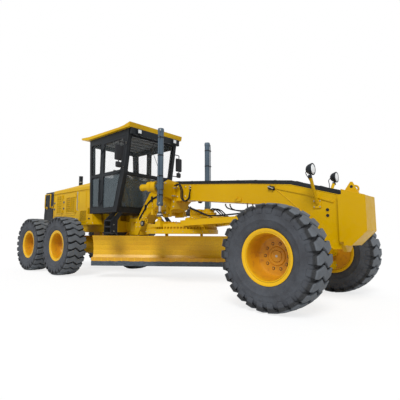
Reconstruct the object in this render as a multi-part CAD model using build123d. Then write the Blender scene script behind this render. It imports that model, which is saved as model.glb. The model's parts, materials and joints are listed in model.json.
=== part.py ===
from build123d import *
import math
import os

os.makedirs("parts", exist_ok=True)

# A motor grader: an articulated road machine with a blade hung under a long front beam.
# Millimetres, +X forward, +Y left, +Z up.
# The origin is on the ground under the middle of the machine's length and width.

# ---------------------------------------------------------------- layout
FRONT_AXLE_X = 3540.0
WHEELBASE = 6220.0  # front axle to the middle of the tandem
TANDEM_SPACING = 1540.0
TREAD = 2150.0  # between the middle planes of the tyres
TANDEM_X = FRONT_AXLE_X - WHEELBASE
MID_AXLE_X = TANDEM_X + TANDEM_SPACING / 2
REAR_AXLE_X = TANDEM_X - TANDEM_SPACING / 2
PIVOT_X = -610.0  # articulation hinge
RUN = 0.3  # clearance of a running fit
GAP = 6.0  # clearance round a door or a cover

# ---------------------------------------------------------------- wheels
TYRE_R = 675.0
TYRE_W = 445.0
TYRE_SIDES = 24  # flats of the light tyre form, one lug on each
LUG_H = 34.0
LUG_L = 92.0  # along the tread
LUG_DEPTH = 130.0
LUG_SKEW = 62.0
LUG_START = 26.0  # past the middle plane
LUG_REACH = 0.47  # share of the tyre's width
TREAD_SHARE = 0.4  # half of the flat tread, as a share of the width
CARCASS_R = TYRE_R - LUG_H
SHOULDER_R = TYRE_R - 150.0
RIM_R = 352.0  # outer lip
RIM_HALF = 181.0
RIM_WALL = 24.0
DISC_T = 34.0
DISC_OFF = -98.0  # outer face of the disc, from the middle plane of the tyre
HUB_R = 100.0
HUB_H = 14.0
HUB_SIDES = 16
AXLE_Z = TYRE_R
HUB_FACE = TREAD / 2 + DISC_OFF - DISC_T  # where a rim meets its hub, from the middle of the machine

# ---------------------------------------------------------------- front frame
BEAM_HALF = 160.0
FRAME_TAIL_X = -400.0
FRAME_NOSE_X = 4060.0
NOSE_PLATE_T = 50.0
NOSE_PLATE_HALF = 215.0
STRIP_T = 75.0  # hose cover on top of the beam
STRIP_HALF = 105.0
PIN_R = 60.0
LUG_EYE_R = 125.0
LUG_T = 80.0

# upper edge of the beam, x and z
BEAM_TOP = [
    (FRAME_TAIL_X, 1180.0),
    (-230.0, 1400.0),
    (100.0, 1840.0),
    (640.0, 1975.0),
    (1230.0, 1920.0),
    (2640.0, 1790.0),
    (3350.0, 1710.0),
    (FRAME_NOSE_X, 1500.0),
]
# lower edge of the beam, x and z, from the nose back
BEAM_BOTTOM = [
    (FRAME_NOSE_X, 760.0),
    (3960.0, 760.0),
    (2820.0, 1450.0),
    (2230.0, 1510.0),
    (1180.0, 1620.0),
    (640.0, 1610.0),
    (330.0, 1540.0),
    (70.0, 1390.0),
    (-60.0, 1270.0),
    (-160.0, 1140.0),
    (-250.0, 1010.0),
    (-290.0, 930.0),
    (FRAME_TAIL_X, 930.0),
]

# outline of the nose plate, y and z
NOSE_PLATE = [
    (-NOSE_PLATE_HALF, 1500.0),
    (NOSE_PLATE_HALF, 1500.0),
    (NOSE_PLATE_HALF, 860.0),
    (70.0, 720.0),
    (-70.0, 720.0),
    (-NOSE_PLATE_HALF, 860.0),
]
# outline of the two plates that the front axle hangs between, y and z
AXLE_PLATE = [(-130.0, 600.0), (130.0, 600.0), (130.0, 1180.0), (-130.0, 1180.0)]
AXLE_PLATE_T = 45.0
BLOCK_X = 4410.0  # face of the push block
EYE_PLATE_T = 32.0
EYE_R = 22.0
EYE_Z = 1600.0
HEADLAMP_X = 3740.0
HEADLAMP_Y = 450.0
HEADLAMP_Z = 1850.0
HEADLAMP_L = 110.0
HEADLAMP_R = 85.0
STALK_R = 22.0

# ---------------------------------------------------------------- front axle
# The lean pins, the kingpins and the tie rod's balls lie in one plane on each side, so that
# the lean bar and the tie rod stay true parallelograms.
KINGPIN_Y = 780.0
KINGPIN_R = 50.0
STUB_R = 44.0
LEAN_Z = 470.0
LEAN_HUB_R = 60.0
LEAN_PIN_R = 32.0
LEAN_BAR_Z = 885.0
LEAN_BAR_X = FRONT_AXLE_X - 145.0
LEAN_BAR_EYE_R = 44.0
LEAN_BAR_PIN_R = 24.0
BRACKET_HALF = 55.0  # half thickness of a lean bracket, fore and aft
FORK_T = 40.0  # each cheek of the axle's forked end
AXLE_HALF_T = BRACKET_HALF + RUN + FORK_T
EAR_LOW_Z = 520.0  # lower and upper ears that hold a kingpin
EAR_LOW_TOP_Z = 590.0
EAR_HIGH_Z = 780.0
EAR_HIGH_TOP_Z = 850.0
BRACKET_IN = 62.0  # web of a lean bracket, inwards from its kingpin
BRACKET_BACK = 120.0
BRACKET_TOP_Z = 945.0
SPINDLE_R = 88.0
ARM_OUT = 82.0  # steering arm, outwards from the kingpin
ARM_Z = 620.0
ARM_SIZE = 40.0
TIE_X = FRONT_AXLE_X - 300.0
TIE_Z = 555.0
TIE_ROD_R = 24.0
TIE_PIN_R = 16.0
AXLE_PIN_Z = 690.0
AXLE_PIN_R = 45.0

# ---------------------------------------------------------------- blade gear
BALL_X = 2810.0
BALL_Z = 1240.0
SWIVEL_R = 30.0  # upright pin of the swivel
SWIVEL_HALF = 75.0
SWIVEL_BAR_R = 36.0  # level pin of the swivel
SWIVEL_EAR_T = 30.0
CIRCLE_X = 920.0
CIRCLE_R = 727.0
CIRCLE_INNER_R = 610.0
CIRCLE_TOP_Z = 1085.0
CIRCLE_T = 125.0
PLATE_T = 55.0  # drawbar plate that the circle hangs from
CIRCLE_FLATS = 72
TOOTH_H = 42.0  # teeth round the top of the circle
TOOTH_TIP_R = 708.0
TOOTH_ROOT_R = 676.0
# corners of one tooth: radius, and share of the pitch from its middle
TOOTH_CORNERS = [
    (TOOTH_ROOT_R, -0.30),
    (TOOTH_TIP_R, -0.18),
    (TOOTH_TIP_R, 0.18),
    (TOOTH_ROOT_R, 0.30),
]
DRAWBAR_ARM_W = 110.0
DRAWBAR_ARM_H = 100.0
DRAWBAR_ARM_REAR = (1350.0, 460.0, 1152.0)  # where an arm meets the plate
DRAWBAR_ARM_FRONT = (BALL_X - 220.0, 75.0, 1225.0)
DRIVE_X = 1600.0  # the circle's drive gearbox
DRIVE_HALF = 170.0
DRIVE_TOP_Z = 1310.0
LIFT_X = 1010.0
LIFT_Y = 700.0
LIFT_BALL_R = 42.0
LIFT_CAP_R = 52.0
LIFT_GAP = 3.0  # between a ball on the drawbar and the cap on its rod
LIFT_TOE = 21.24  # the lift hinges point at the drawbar's ball joint, so the rods follow its swing
YOKE_Z = 1850.0
BARREL_R = 56.0
BARREL_TOP_Z = 2970.0
BARREL_END_Z = 1480.0
ROD_R = 23.0
ARM_X0 = 700.0  # rear face of the lift arms
ARM_X1 = 925.0
CASTING_Y = 610.0  # round casting that points rearwards from each lift arm
CASTING_Z = 1885.0
CASTING_L = 330.0
CASTING_R = 62.0
# outline of the saddle's side plates, x and z
SADDLE_SIDE = [(560, 1300), (780, 1300), (800, 1430), (900, 1460), (925, 1990), (700, 2070), (480, 1990)]
# outline of a lift arm, y and z
LIFT_ARM = [
    (-BEAM_HALF - 20, 1960),
    (-LIFT_Y, 1935),
    (-LIFT_Y - 30, 1790),
    (-LIFT_Y + 60, 1760),
    (-BEAM_HALF - 20, 1640),
]
LINK_BAR_X = 600.0
LINK_BAR_T = 60.0
LINK_BAR_Z0 = 1330.0
LINK_BAR_Z1 = 1440.0
LINK_HOLES = 6
LINK_HOLE_R = 24.0
LINK_HOLE_PITCH = 110.0
BLADE_TURN = 40.0  # rest angle of the blade to the length of the machine
BLADE_L = 3250.0
BLADE_H = 625.0
BLADE_Z = 290.0
BLADE_T = 22.0
BLADE_DEPTH = 120.0  # how deep the moldboard's curve is
BLADE_END_X = -960.0  # lower right corner of the blade
BLADE_END_Y = -900.0
EDGE_H = 150.0
EDGE_T = 19.0
TIP_BACK = -BLADE_DEPTH - 135.0  # tipping hinge, behind the blade's hollow face
TIP_Z = 470.0
TIP_TUBE_R = 40.0
SLIDE_LOW_Z = 440.0  # middles of the slide rails on the back of the blade
SLIDE_HIGH_Z = 690.0
SLIDE_HALF = 22.0
SLIDE_BACK = -BLADE_DEPTH - 75.0
SLIDE_START = 300.0  # along the blade
SLIDE_END = 3000.0
SHOE_T = 20.0  # lips of the carrier over and under each rail
CARRIER_LOW_Z = 400.0
CARRIER_HIGH_Z = 750.0
CARRIER_T = 40.0
CARRIER_HALF = 560.0
CARRIER_ARM_W = 120.0

# middle of the blade carrier, from the blade's right end: square across from the circle's centre
CARRIER_ALONG = (CIRCLE_X - BLADE_END_X) * math.cos(math.radians(BLADE_TURN))
CARRIER_ALONG = CARRIER_ALONG - BLADE_END_Y * math.sin(math.radians(BLADE_TURN))

# ---------------------------------------------------------------- rear frame
RAIL_Y = 350.0
RAIL_HALF = 50.0
RAIL_Z0 = 1000.0
RAIL_Z1 = 1250.0
DECK_T = 25.0
DECK_Z = RAIL_Z1 + DECK_T
CROSS_T = 140.0  # cross members
HINGE_Z0 = 1015.0  # under side and top of the rear frame's hinge lug
HINGE_Z1 = 1225.0
TAIL_X = -4410.0
TAIL_SHELL_X = TAIL_X + 120.0  # foot of the radiator housing
TAIL_LEAN = 70.0
TAIL_TOP_Z = 2150.0
MOUTH_IN = 110.0  # from the housing's side to its mouth
MOUTH_Z0 = 1560.0
MOUTH_Z1 = 2040.0
GRILLE_SLOTS = 7
GRILLE_PITCH = 63.0
GRILLE_SLOT_H = 44.0
BUMPER_Z0 = 1215.0
BUMPER_Z1 = 1420.0
TANDEM_IN = 650.0
TANDEM_OUT = 835.0
TANDEM_HALF_H = 150.0
TANDEM_BOSS_R = 110.0
AXLE_TUBE_R = 120.0
AXLE_DRUM_R = 235.0
AXLE_DRUM_HALF = 190.0
AXLE_SADDLE_HALF = 140.0

# ---------------------------------------------------------------- hood
HOOD_HALF = 500.0
HOOD_FRONT_X = -1530.0
HOOD_REAR_X = -3710.0
HOOD_WALL = 30.0
HOOD_TOP_FRONT = 2260.0
HOOD_TOP_REAR = 2160.0
HOOD_BEND_Z = 110.0  # slanted shoulder of the hood, down and across
HOOD_BEND_Y = 90.0
RAIL_START_X = HOOD_REAR_X - 440.0
RAIL_END_X = PIVOT_X - 150.0
DOOR_Z0 = 1420.0
DOOR_Z1 = 2060.0
DOOR_HINGE_LOW = 90.0  # hinges of an engine door, up from its foot and down from its top
DOOR_HINGE_HIGH = 150.0
# name, rear edge, front edge, grille: rear, front, bottom, top
HOOD_DOORS = [
    ("rear", -3690.0, -3180.0, -3500.0, -3230.0, 1520.0, 2010.0),
    ("mid", -3150.0, -2460.0, -2960.0, -2500.0, 1520.0, 1930.0),
]
DOOR_SLATS = 8
LATCH_IN = 50.0
LATCH_Z = 1810.0
LATCH_R = 22.0
HINGE_R = 12.0
ENGINE_REAR_X = -3450.0
ENGINE_FRONT_X = -2250.0
ENGINE_HALF = 290.0
ENGINE_TOP_Z = 1980.0
EXHAUST_X = -3130.0
EXHAUST_TOP_Z = 2600.0
EXHAUST_R = 55.0
EXHAUST_BORE_R = 48.0
EXHAUST_FLANGE_R = 95.0
SIDE_BOX_Y = 750.0
# outline of a locker beside the rails, x and z
SIDE_BOX = [(-1850, 1170), (-1180, 1170), (-1280, 1412), (-1450, 1412), (-1450, 1560), (-1850, 1560)]
RAIL_OUT = 60.0  # grab loops: how far out they stand, their bar and their corners
RAIL_BAR_R = 16.0
RAIL_FRONT_X = -3790.0
RAIL_REAR_X = -4130.0
RAIL_LOW_Z = 1700.0
RAIL_HIGH_Z = 2080.0

# ---------------------------------------------------------------- cab
CAB_HALF = 720.0
CAB_Z = 1420.0
CAB_WALL = 50.0
CAB_TOP_Z = 3200.0
CAB_FLOOR_REAR = -1440.0
CAB_POSTS = [(-1330.0, -1210.0), (-860.0, -760.0)]  # posts under the cab, rear and front face
# side outline of the cab, x and z, from the lower front corner round by the top
CAB_FRONT = [(-350.0, CAB_Z), (-110.0, 2250.0), (40.0, CAB_TOP_Z)]
CAB_REAR = [(-1510.0, CAB_TOP_Z), (-1400.0, CAB_Z)]
PILLAR = 70.0
WAIST_Z = 2290.0
SASH = 55.0
B_PILLAR_X = -985.0
B_PILLAR_HALF = 30.0
DOOR_SILL = 40.0
DOOR_LOW = CAB_Z + DOOR_SILL
DOOR_HIGH = CAB_TOP_Z - 130.0
DOOR_REAR = B_PILLAR_X + B_PILLAR_HALF
CAB_HINGE_LOW = 150.0  # hinges of a cab door, up from its foot and down from its top
CAB_HINGE_HIGH = 260.0
HANDLE_L = 100.0
HANDLE_HALF_H = 14.0
PANE_TOP_Z = CAB_TOP_Z - 150.0
# panes of a door: lower edge, upper edge
DOOR_PANES = [
    (DOOR_LOW + GAP + SASH, WAIST_Z - SASH / 2),
    (WAIST_Z + SASH / 2, DOOR_HIGH - GAP - SASH),
]
# front and rear windows: low, high, half-width
FRONT_PANES = [(1530.0, WAIST_Z - 70, 640.0), (WAIST_Z - 20, PANE_TOP_Z, 640.0)]
REAR_PANES = [(2330.0, PANE_TOP_Z, 600.0)]
QUARTER_PANES = [(1560.0, WAIST_Z - SASH / 2), (WAIST_Z + SASH / 2, PANE_TOP_Z)]
GLASS_T = 8.0
ROOF_T = 100.0
ROOF_Z = CAB_TOP_Z + ROOF_T
ROOF_HALF = 790.0
ROOF_REAR_X = -1790.0
ROOF_FRONT_X = 140.0
ROOF_EDGE = 45.0
HEADER_H = 140.0  # dark band under the roof that carries the lamps
HEADER_Z = CAB_TOP_Z - HEADER_H
HEADER_X = 120.0
WORK_LAMP_Y = 530.0
WORK_LAMP_R = 58.0
SEAT_X0 = -1190.0
SEAT_X1 = -700.0
SEAT_Z = 1750.0
SEAT_T = 130.0
SEAT_HALF = 260.0
ARMREST_Y = 330.0
ARMREST_Z = 2050.0
# outlines of the control column and of the lever rack, x and z
COLUMN = [(-520, 1470), (-420, 1470), (-400, 1900), (-520, 2230), (-600, 2200), (-520, 1880)]
LEVER_RACK = [(-560, 2080), (-470, 2080), (-490, 2220), (-560, 2200)]
STEER_WHEEL = (-610.0, 0.0, 2250.0)
STEER_WHEEL_R = 190.0
STEER_WHEEL_T = 26.0
MIRROR_X = -60.0
MIRROR_Y = -900.0
MIRROR_ARM_R = 12.0
MIRROR_ARM_Z = (2300.0, 2895.0)
MIRROR_FEET_Z = (2360.0, 2880.0)
MIRROR_Z = (2480.0, 2810.0)
MIRROR_HALF = 95.0
MIRROR_HALF_T = 25.0
SMALL_MIRROR_Z = 2390.0
SMALL_MIRROR_R = 70.0
STEP_X = -400.0  # middle of the access steps
STEP_HALF = 118.0
STEP_RAIL_T = 24.0
STEP_OUT = 160.0  # depth of the steps, outwards from the cab's side
STEP_LOW_Z = 960.0
STEP_HIGH_Z = 1245.0
STEP_TREAD_T = 28.0


# ---------------------------------------------------------------- helpers
def block(x0, x1, y0, y1, z0, z1):
    """Box between two corners."""
    size = Box(x1 - x0, y1 - y0, z1 - z0)
    return Pos((x0 + x1) / 2, (y0 + y1) / 2, (z0 + z1) / 2) * size


def side_plate(outline, y0, y1):
    """Plate with its outline in x and z, from y0 to y1."""
    plane = Plane(origin=(0, y1, 0), x_dir=(1, 0, 0), z_dir=(0, -1, 0))
    return extrude(plane * make_face(Polyline(*outline, close=True)), amount=y1 - y0)


def end_plate(outline, x0, x1):
    """Plate with its outline in y and z, from x0 to x1."""
    plane = Plane(origin=(x0, 0, 0), x_dir=(0, 1, 0), z_dir=(1, 0, 0))
    return extrude(plane * make_face(Polyline(*outline, close=True)), amount=x1 - x0)


def floor_plate(outline, z0, z1):
    """Plate with its outline in x and y, from z0 to z1."""
    plane = Plane(origin=(0, 0, z0))
    return extrude(plane * make_face(Polyline(*outline, close=True)), amount=z1 - z0)


def rod(start, end, radius):
    """Round bar from one point to another."""
    along = Vector(*end) - Vector(*start)
    return extrude(Plane(origin=start, z_dir=along) * Circle(radius), amount=along.length)


def box_beam(start, end, width, height):
    """Square bar from one point to another, its width level."""
    along = Vector(*end) - Vector(*start)
    across = Vector(0, 0, 1).cross(along).normalized()
    plane = Plane(origin=start, x_dir=across, z_dir=along)
    return extrude(plane * Rectangle(width, height), amount=along.length)


def slim_bar(start, end, radius):
    """Slim bar of six flats from one point to another."""
    along = Vector(*end) - Vector(*start)
    return extrude(Plane(origin=start, z_dir=along) * RegularPolygon(radius, 6), amount=along.length)


def knob(x, y, z, radius):
    """Ball of eight sides round an upright axis."""
    band = Pos(0, 0, -0.4 * radius) * RegularPolygon(radius, 8)
    ball = extrude(band, amount=0.8 * radius)
    cap = extrude(Pos(0, 0, 0.4 * radius) * RegularPolygon(radius, 8), amount=0.5 * radius, taper=45)
    return Pos(x, y, z) * (ball + cap + mirror(cap, about=Plane.XY))


def both_sides(right):
    """The right-hand piece with its mirror image on the left."""
    return right + mirror(right, about=Plane.XZ)


def total(pieces):
    """All the pieces fused, or kept side by side where they don't touch."""
    whole = pieces[0]
    for piece in pieces[1:]:
        whole = whole + piece
    return whole


# ---------------------------------------------------------------- wheels
def wheel_prism(flat_radius, start, end, sides):
    """Prism round the wheel's axis, from one offset to another, with one flat at the bottom."""
    plane = Plane(origin=(0, start, 0), x_dir=(1, 0, 0), z_dir=(0, 1, 0))
    outline = plane * RegularPolygon(flat_radius, sides, major_radius=False, rotation=180.0 / sides)
    return extrude(outline, amount=end - start)


def flat_ring(profile):
    """Ring of flat faces round the wheel's axis; profile points are radius to the flats and offset."""
    half_angle = math.pi / TYRE_SIDES
    loops = []
    for radius, offset in profile:
        reach = radius / math.cos(half_angle)
        angles = [(2 * number + 1) * half_angle for number in range(TYRE_SIDES)]
        loops.append([(reach * math.sin(angle), offset, -reach * math.cos(angle)) for angle in angles])
    faces = []
    for inner, outer in zip(loops, loops[1:] + loops[:1]):
        for number in range(TYRE_SIDES):
            corners = [inner[number - 1], inner[number], outer[number], outer[number - 1]]
            faces.append(Face(Wire.make_polygon(corners, close=True)))
    return Part() + Solid(Shell(faces))


def tyre():
    """Tyre with staggered half-width lugs, its outer side at +Y."""
    half = TYRE_W / 2
    flat = TREAD_SHARE * TYRE_W
    bead = RIM_R + RUN
    carcass = [
        (bead, -half),
        (SHOULDER_R, -half),
        (CARCASS_R, -flat),
        (CARCASS_R, flat),
        (SHOULDER_R, half),
        (bead, half),
    ]
    body = flat_ring(carcass)
    for number in range(TYRE_SIDES):
        side = 1 if number % 2 == 0 else -1
        lug_outline = [
            (-LUG_L / 2, -side * LUG_START),
            (LUG_L / 2, -side * LUG_START),
            (LUG_L / 2 + LUG_SKEW, side * LUG_REACH * TYRE_W),
            (-LUG_L / 2 + LUG_SKEW, side * LUG_REACH * TYRE_W),
        ]
        lug = floor_plate(lug_outline, -TYRE_R, -TYRE_R + LUG_DEPTH)
        body = body + Rot(Y=number * 360.0 / TYRE_SIDES) * lug
    return body


def rim():
    """Rim and deep disc in one, its outer side at +Y."""
    bore = RIM_R - RIM_WALL
    body = wheel_prism(RIM_R, -RIM_HALF, RIM_HALF, TYRE_SIDES)
    body = body - wheel_prism(bore, -RIM_HALF, DISC_OFF - DISC_T, TYRE_SIDES)
    body = body - wheel_prism(bore, DISC_OFF, RIM_HALF, TYRE_SIDES)
    return body + wheel_prism(HUB_R, DISC_OFF - 5, DISC_OFF + HUB_H, HUB_SIDES)


# name, x of the axle, side: -1 right, 1 left
WHEELS = [
    ("front_right", FRONT_AXLE_X, -1),
    ("front_left", FRONT_AXLE_X, 1),
    ("mid_right", MID_AXLE_X, -1),
    ("mid_left", MID_AXLE_X, 1),
    ("rear_right", REAR_AXLE_X, -1),
    ("rear_left", REAR_AXLE_X, 1),
]


def placed_wheel(piece, axle_x, side):
    """A wheel piece at its axle, turned to face outwards."""
    facing = piece if side > 0 else mirror(piece, about=Plane.XZ)
    return Pos(axle_x, side * TREAD / 2, AXLE_Z) * facing


# ---------------------------------------------------------------- rear frame
def rear_frame():
    """Rails, cross members, hinge lug, deck and the posts under the cab."""
    wide = RAIL_Y + RAIL_HALF
    narrow = RAIL_Y - RAIL_HALF
    frame = both_sides(block(RAIL_START_X, RAIL_END_X, -wide, -narrow, RAIL_Z0, RAIL_Z1))
    frame = frame + block(RAIL_END_X - CROSS_T, RAIL_END_X, -wide, wide, RAIL_Z0, RAIL_Z1)
    frame = frame + block(RAIL_START_X, RAIL_START_X + CROSS_T, -wide, wide, RAIL_Z0, RAIL_Z1)
    height = HINGE_Z1 - HINGE_Z0
    hinge = Pos(PIVOT_X, 0, (HINGE_Z0 + HINGE_Z1) / 2)
    lug = block(RAIL_END_X - 50, PIVOT_X, -LUG_EYE_R, LUG_EYE_R, HINGE_Z0, HINGE_Z1)
    lug = lug + hinge * Cylinder(LUG_EYE_R, height)
    frame = frame + (lug - hinge * Cylinder(PIN_R + RUN, height))
    frame = frame + block(HOOD_REAR_X, CAB_FLOOR_REAR, -HOOD_HALF, HOOD_HALF, RAIL_Z1, DECK_Z)
    for rear, front in CAB_POSTS:
        frame = frame + both_sides(block(rear, front, -wide, -narrow, RAIL_Z1, CAB_Z))
    post = CAB_POSTS[1][0]
    gusset = [
        (post - 340, RAIL_Z1),
        (post, RAIL_Z1),
        (post, CAB_Z),
        (post - 70, CAB_Z),
        (post - 100, CAB_Z - 80),
        (post - 190, RAIL_Z1 + 50),
    ]
    return frame + both_sides(side_plate(gusset, -wide, -wide + DECK_T))


def tail_guard():
    """Radiator housing and bumper behind the hood."""
    front = HOOD_REAR_X - 5
    outline = [
        (front, DECK_Z - 60),
        (TAIL_SHELL_X, DECK_Z - 60),
        (TAIL_SHELL_X, 1500),
        (TAIL_SHELL_X + TAIL_LEAN, TAIL_TOP_Z),
        (front, TAIL_TOP_Z),
    ]
    mouth = HOOD_HALF - MOUTH_IN
    guard = side_plate(outline, -HOOD_HALF, HOOD_HALF)
    guard = guard - block(TAIL_X, TAIL_X + 260, -mouth, mouth, MOUTH_Z0, MOUTH_Z1)
    wide = RAIL_Y + RAIL_HALF
    guard = guard - block(RAIL_START_X, front, -wide, wide, RAIL_Z1 - 40, RAIL_Z1)
    bumper = HOOD_HALF - 60
    return guard + block(TAIL_X, TAIL_SHELL_X, -bumper, bumper, BUMPER_Z0, BUMPER_Z1)


def tail_grille():
    """Slatted grille in the mouth of the radiator housing."""
    x = TAIL_X + 200
    half = HOOD_HALF - MOUTH_IN - RUN
    clear = HOOD_HALF - MOUTH_IN - 30
    frame = block(x, x + 25, -half, half, MOUTH_Z0 + RUN, MOUTH_Z1 - RUN)
    slots = []
    for row in range(GRILLE_SLOTS):
        z = MOUTH_Z0 + 25 + row * GRILLE_PITCH
        slots.append(block(x - 10, x + 40, -clear, clear, z, z + GRILLE_SLOT_H))
    return frame - total(slots)


def engine():
    """Engine as one plain block."""
    return block(ENGINE_REAR_X, ENGINE_FRONT_X, -ENGINE_HALF, ENGINE_HALF, DECK_Z, ENGINE_TOP_Z)


def rear_axle():
    """Axle housing across the tandem, with its saddles under the rails."""
    x, z, saddle_half = TANDEM_X, AXLE_Z, AXLE_SADDLE_HALF
    tube = rod((x, -TANDEM_IN, z), (x, TANDEM_IN, z), AXLE_TUBE_R)
    drum = rod((x, -AXLE_DRUM_HALF, z), (x, AXLE_DRUM_HALF, z), AXLE_DRUM_R)
    y0, y1 = -RAIL_Y - RAIL_HALF, -RAIL_Y + RAIL_HALF
    saddle = block(x - saddle_half, x + saddle_half, y0, y1, z, RAIL_Z0)
    return tube + drum + both_sides(saddle)


def tandem(side):
    """Chain case that carries the two wheels of one side."""
    half = TANDEM_HALF_H
    width = TANDEM_OUT - TANDEM_IN
    case = block(REAR_AXLE_X, MID_AXLE_X, -width / 2, width / 2, AXLE_Z - half, AXLE_Z + half)
    for x in (MID_AXLE_X, REAR_AXLE_X):
        case = case + Pos(x, 0, AXLE_Z) * Rot(X=90) * Cylinder(half, width)
    case = Pos(0, side * (TANDEM_IN + TANDEM_OUT) / 2, 0) * case
    for x in (MID_AXLE_X, REAR_AXLE_X):
        face = side * (HUB_FACE - RUN)
        case = case + rod((x, side * TANDEM_OUT, AXLE_Z), (x, face, AXLE_Z), TANDEM_BOSS_R)
    return case


def hood_outline(inset):
    """Section of the hood across the machine at its tall end, in y and z."""
    half = HOOD_HALF - inset
    top = HOOD_TOP_FRONT - inset
    shoulder = [(half, DECK_Z), (half, top - HOOD_BEND_Z), (half - HOOD_BEND_Y, top)]
    return [(-y, z) for y, z in shoulder] + list(reversed(shoulder))


def hood():
    """Engine cover: one bent sheet, open below, with its door openings cut."""
    outer = end_plate(hood_outline(0), HOOD_REAR_X, HOOD_FRONT_X)
    inner = end_plate(hood_outline(HOOD_WALL), HOOD_REAR_X + HOOD_WALL, HOOD_FRONT_X - HOOD_WALL)
    rear, front = HOOD_REAR_X - 10, HOOD_FRONT_X + 10
    over = HOOD_TOP_FRONT + 100
    wedge = [(rear, hood_top(rear)), (front, hood_top(front)), (front, over), (rear, over)]
    lid = side_plate(wedge, -HOOD_HALF, HOOD_HALF)
    cover = (outer - lid) - (inner - Pos(0, 0, -HOOD_WALL) * lid)
    for _, rear, front, *_ in HOOD_DOORS:
        opening = block(rear, front, -HOOD_HALF - 5, -HOOD_HALF + HOOD_WALL + 5, DOOR_Z0, DOOR_Z1)
        cover = cover - both_sides(opening)
        for z in (DOOR_Z0 + DOOR_HINGE_LOW, DOOR_Z1 - DOOR_HINGE_HIGH):
            cover = cover + both_sides(hinge_leaf(front - GAP / 2, -HOOD_HALF, z, 1))
    return cover


def hinge_leaf(x, y, z, towards):
    """Half of a door hinge outside a right-hand wall: a leaf and its knuckle, towards +X or -X."""
    y_axis = y - HINGE_R - 2
    knuckle = Pos(x, y_axis, z + 20) * Cylinder(HINGE_R, 40)
    x0, x1 = (x, x + 50) if towards > 0 else (x - 50, x)
    leaf = block(x0, x1, y_axis - 4, y, z, z + 40)
    return knuckle + leaf


def hood_door(rear, front, grille):
    """Right-hand engine door with a slatted window."""
    door = block(rear + GAP, front - GAP, -HOOD_HALF, -HOOD_HALF + HOOD_WALL, DOOR_Z0 + GAP, DOOR_Z1 - GAP)
    rear_g, front_g, low, high = grille
    pitch = (high - low) / DOOR_SLATS
    for row in range(DOOR_SLATS):
        z = low + row * pitch
        door = door - block(rear_g, front_g, -HOOD_HALF - 5, -HOOD_HALF + 40, z, z + 0.6 * pitch)
    for z in (DOOR_Z0 + DOOR_HINGE_LOW, DOOR_Z1 - DOOR_HINGE_HIGH):
        door = door + hinge_leaf(front - GAP / 2, -HOOD_HALF, z + 40 + RUN, -1)
    latch = rear + LATCH_IN
    return door + rod((latch, -HOOD_HALF, LATCH_Z), (latch, -HOOD_HALF - 14, LATCH_Z), LATCH_R)


def hood_top(x):
    """Height of the hood's top at a distance along it."""
    share = (x - HOOD_REAR_X) / (HOOD_FRONT_X - HOOD_REAR_X)
    return HOOD_TOP_REAR + (HOOD_TOP_FRONT - HOOD_TOP_REAR) * share


def exhaust():
    """Stack that stands on the hood on a round flange."""
    x = EXHAUST_X
    base = hood_top(x)
    pipe = rod((x, 0, base - 40), (x, 0, EXHAUST_TOP_Z), EXHAUST_R)
    flange = rod((x, 0, base - 40), (x, 0, base + 30), EXHAUST_FLANGE_R)
    bore = rod((x, 0, EXHAUST_TOP_Z - 220), (x, 0, EXHAUST_TOP_Z), EXHAUST_BORE_R)
    x0, x1 = x - 150, x + 150
    under = [(x0, hood_top(x0)), (x1, hood_top(x1)), (x1, base - 80), (x0, base - 80)]
    return pipe + flange - bore - side_plate(under, -150, 150)


def side_box(side):
    """Locker beside the rails, partly under the cab."""
    y0, y1 = sorted((side * SIDE_BOX_Y, side * HOOD_HALF))
    return side_plate(SIDE_BOX, y0, y1)


def handrails():
    """Grab loops on the flanks of the radiator housing."""
    y = -HOOD_HALF - RAIL_OUT
    r = RAIL_BAR_R
    route = [
        (RAIL_FRONT_X, -HOOD_HALF, RAIL_LOW_Z),
        (RAIL_FRONT_X, y, RAIL_LOW_Z),
        (RAIL_FRONT_X, y, RAIL_HIGH_Z),
        (RAIL_REAR_X, y, RAIL_HIGH_Z),
        (RAIL_REAR_X, y, RAIL_LOW_Z),
        (RAIL_REAR_X, -HOOD_HALF, RAIL_LOW_Z),
    ]
    loop = total([slim_bar(start, end, r) for start, end in zip(route, route[1:])])
    corners = total([Pos(*point) * Box(2 * r, 2 * r, 2 * r) for point in route[1:-1]])
    return both_sides(loop + corners)


# ---------------------------------------------------------------- cab
def front_x(z):
    """X of the cab's front face at a height."""
    (x0, z0), (x1, z1), (x2, z2) = CAB_FRONT
    if z < z1:
        return x0 + (x1 - x0) * (z - z0) / (z1 - z0)
    return x1 + (x2 - x1) * (z - z1) / (z2 - z1)


def rear_x(z):
    """X of the cab's rear face at a height."""
    (x0, z0), (x1, z1) = CAB_REAR
    return x1 + (x0 - x1) * (z - z1) / (z0 - z1)


def cab_side(inset, low, high):
    """Side outline of the cab drawn in by an inset, between two heights."""
    middle = CAB_FRONT[1][1]
    front = [(front_x(z) - inset, z) for z in (low, middle, high)]
    return front + [(rear_x(high) + inset, high), (rear_x(low) + inset, low)]


def door_outline(inset):
    """Outline of a cab door drawn in by an inset."""
    low = DOOR_LOW + inset
    high = DOOR_HIGH - inset
    middle = CAB_FRONT[1][1]
    front = [(front_x(z) - PILLAR - inset, z) for z in (low, middle, high)]
    return front + [(DOOR_REAR + inset, high), (DOOR_REAR + inset, low)]


def pane_outline(inset, low, high):
    """Outline of one pane of a cab door."""
    edge = PILLAR + inset
    heights = [low, CAB_FRONT[1][1], high] if low < CAB_FRONT[1][1] < high else [low, high]
    front = [(front_x(z) - edge, z) for z in heights]
    return front + [(DOOR_REAR + inset, high), (DOOR_REAR + inset, low)]


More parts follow.
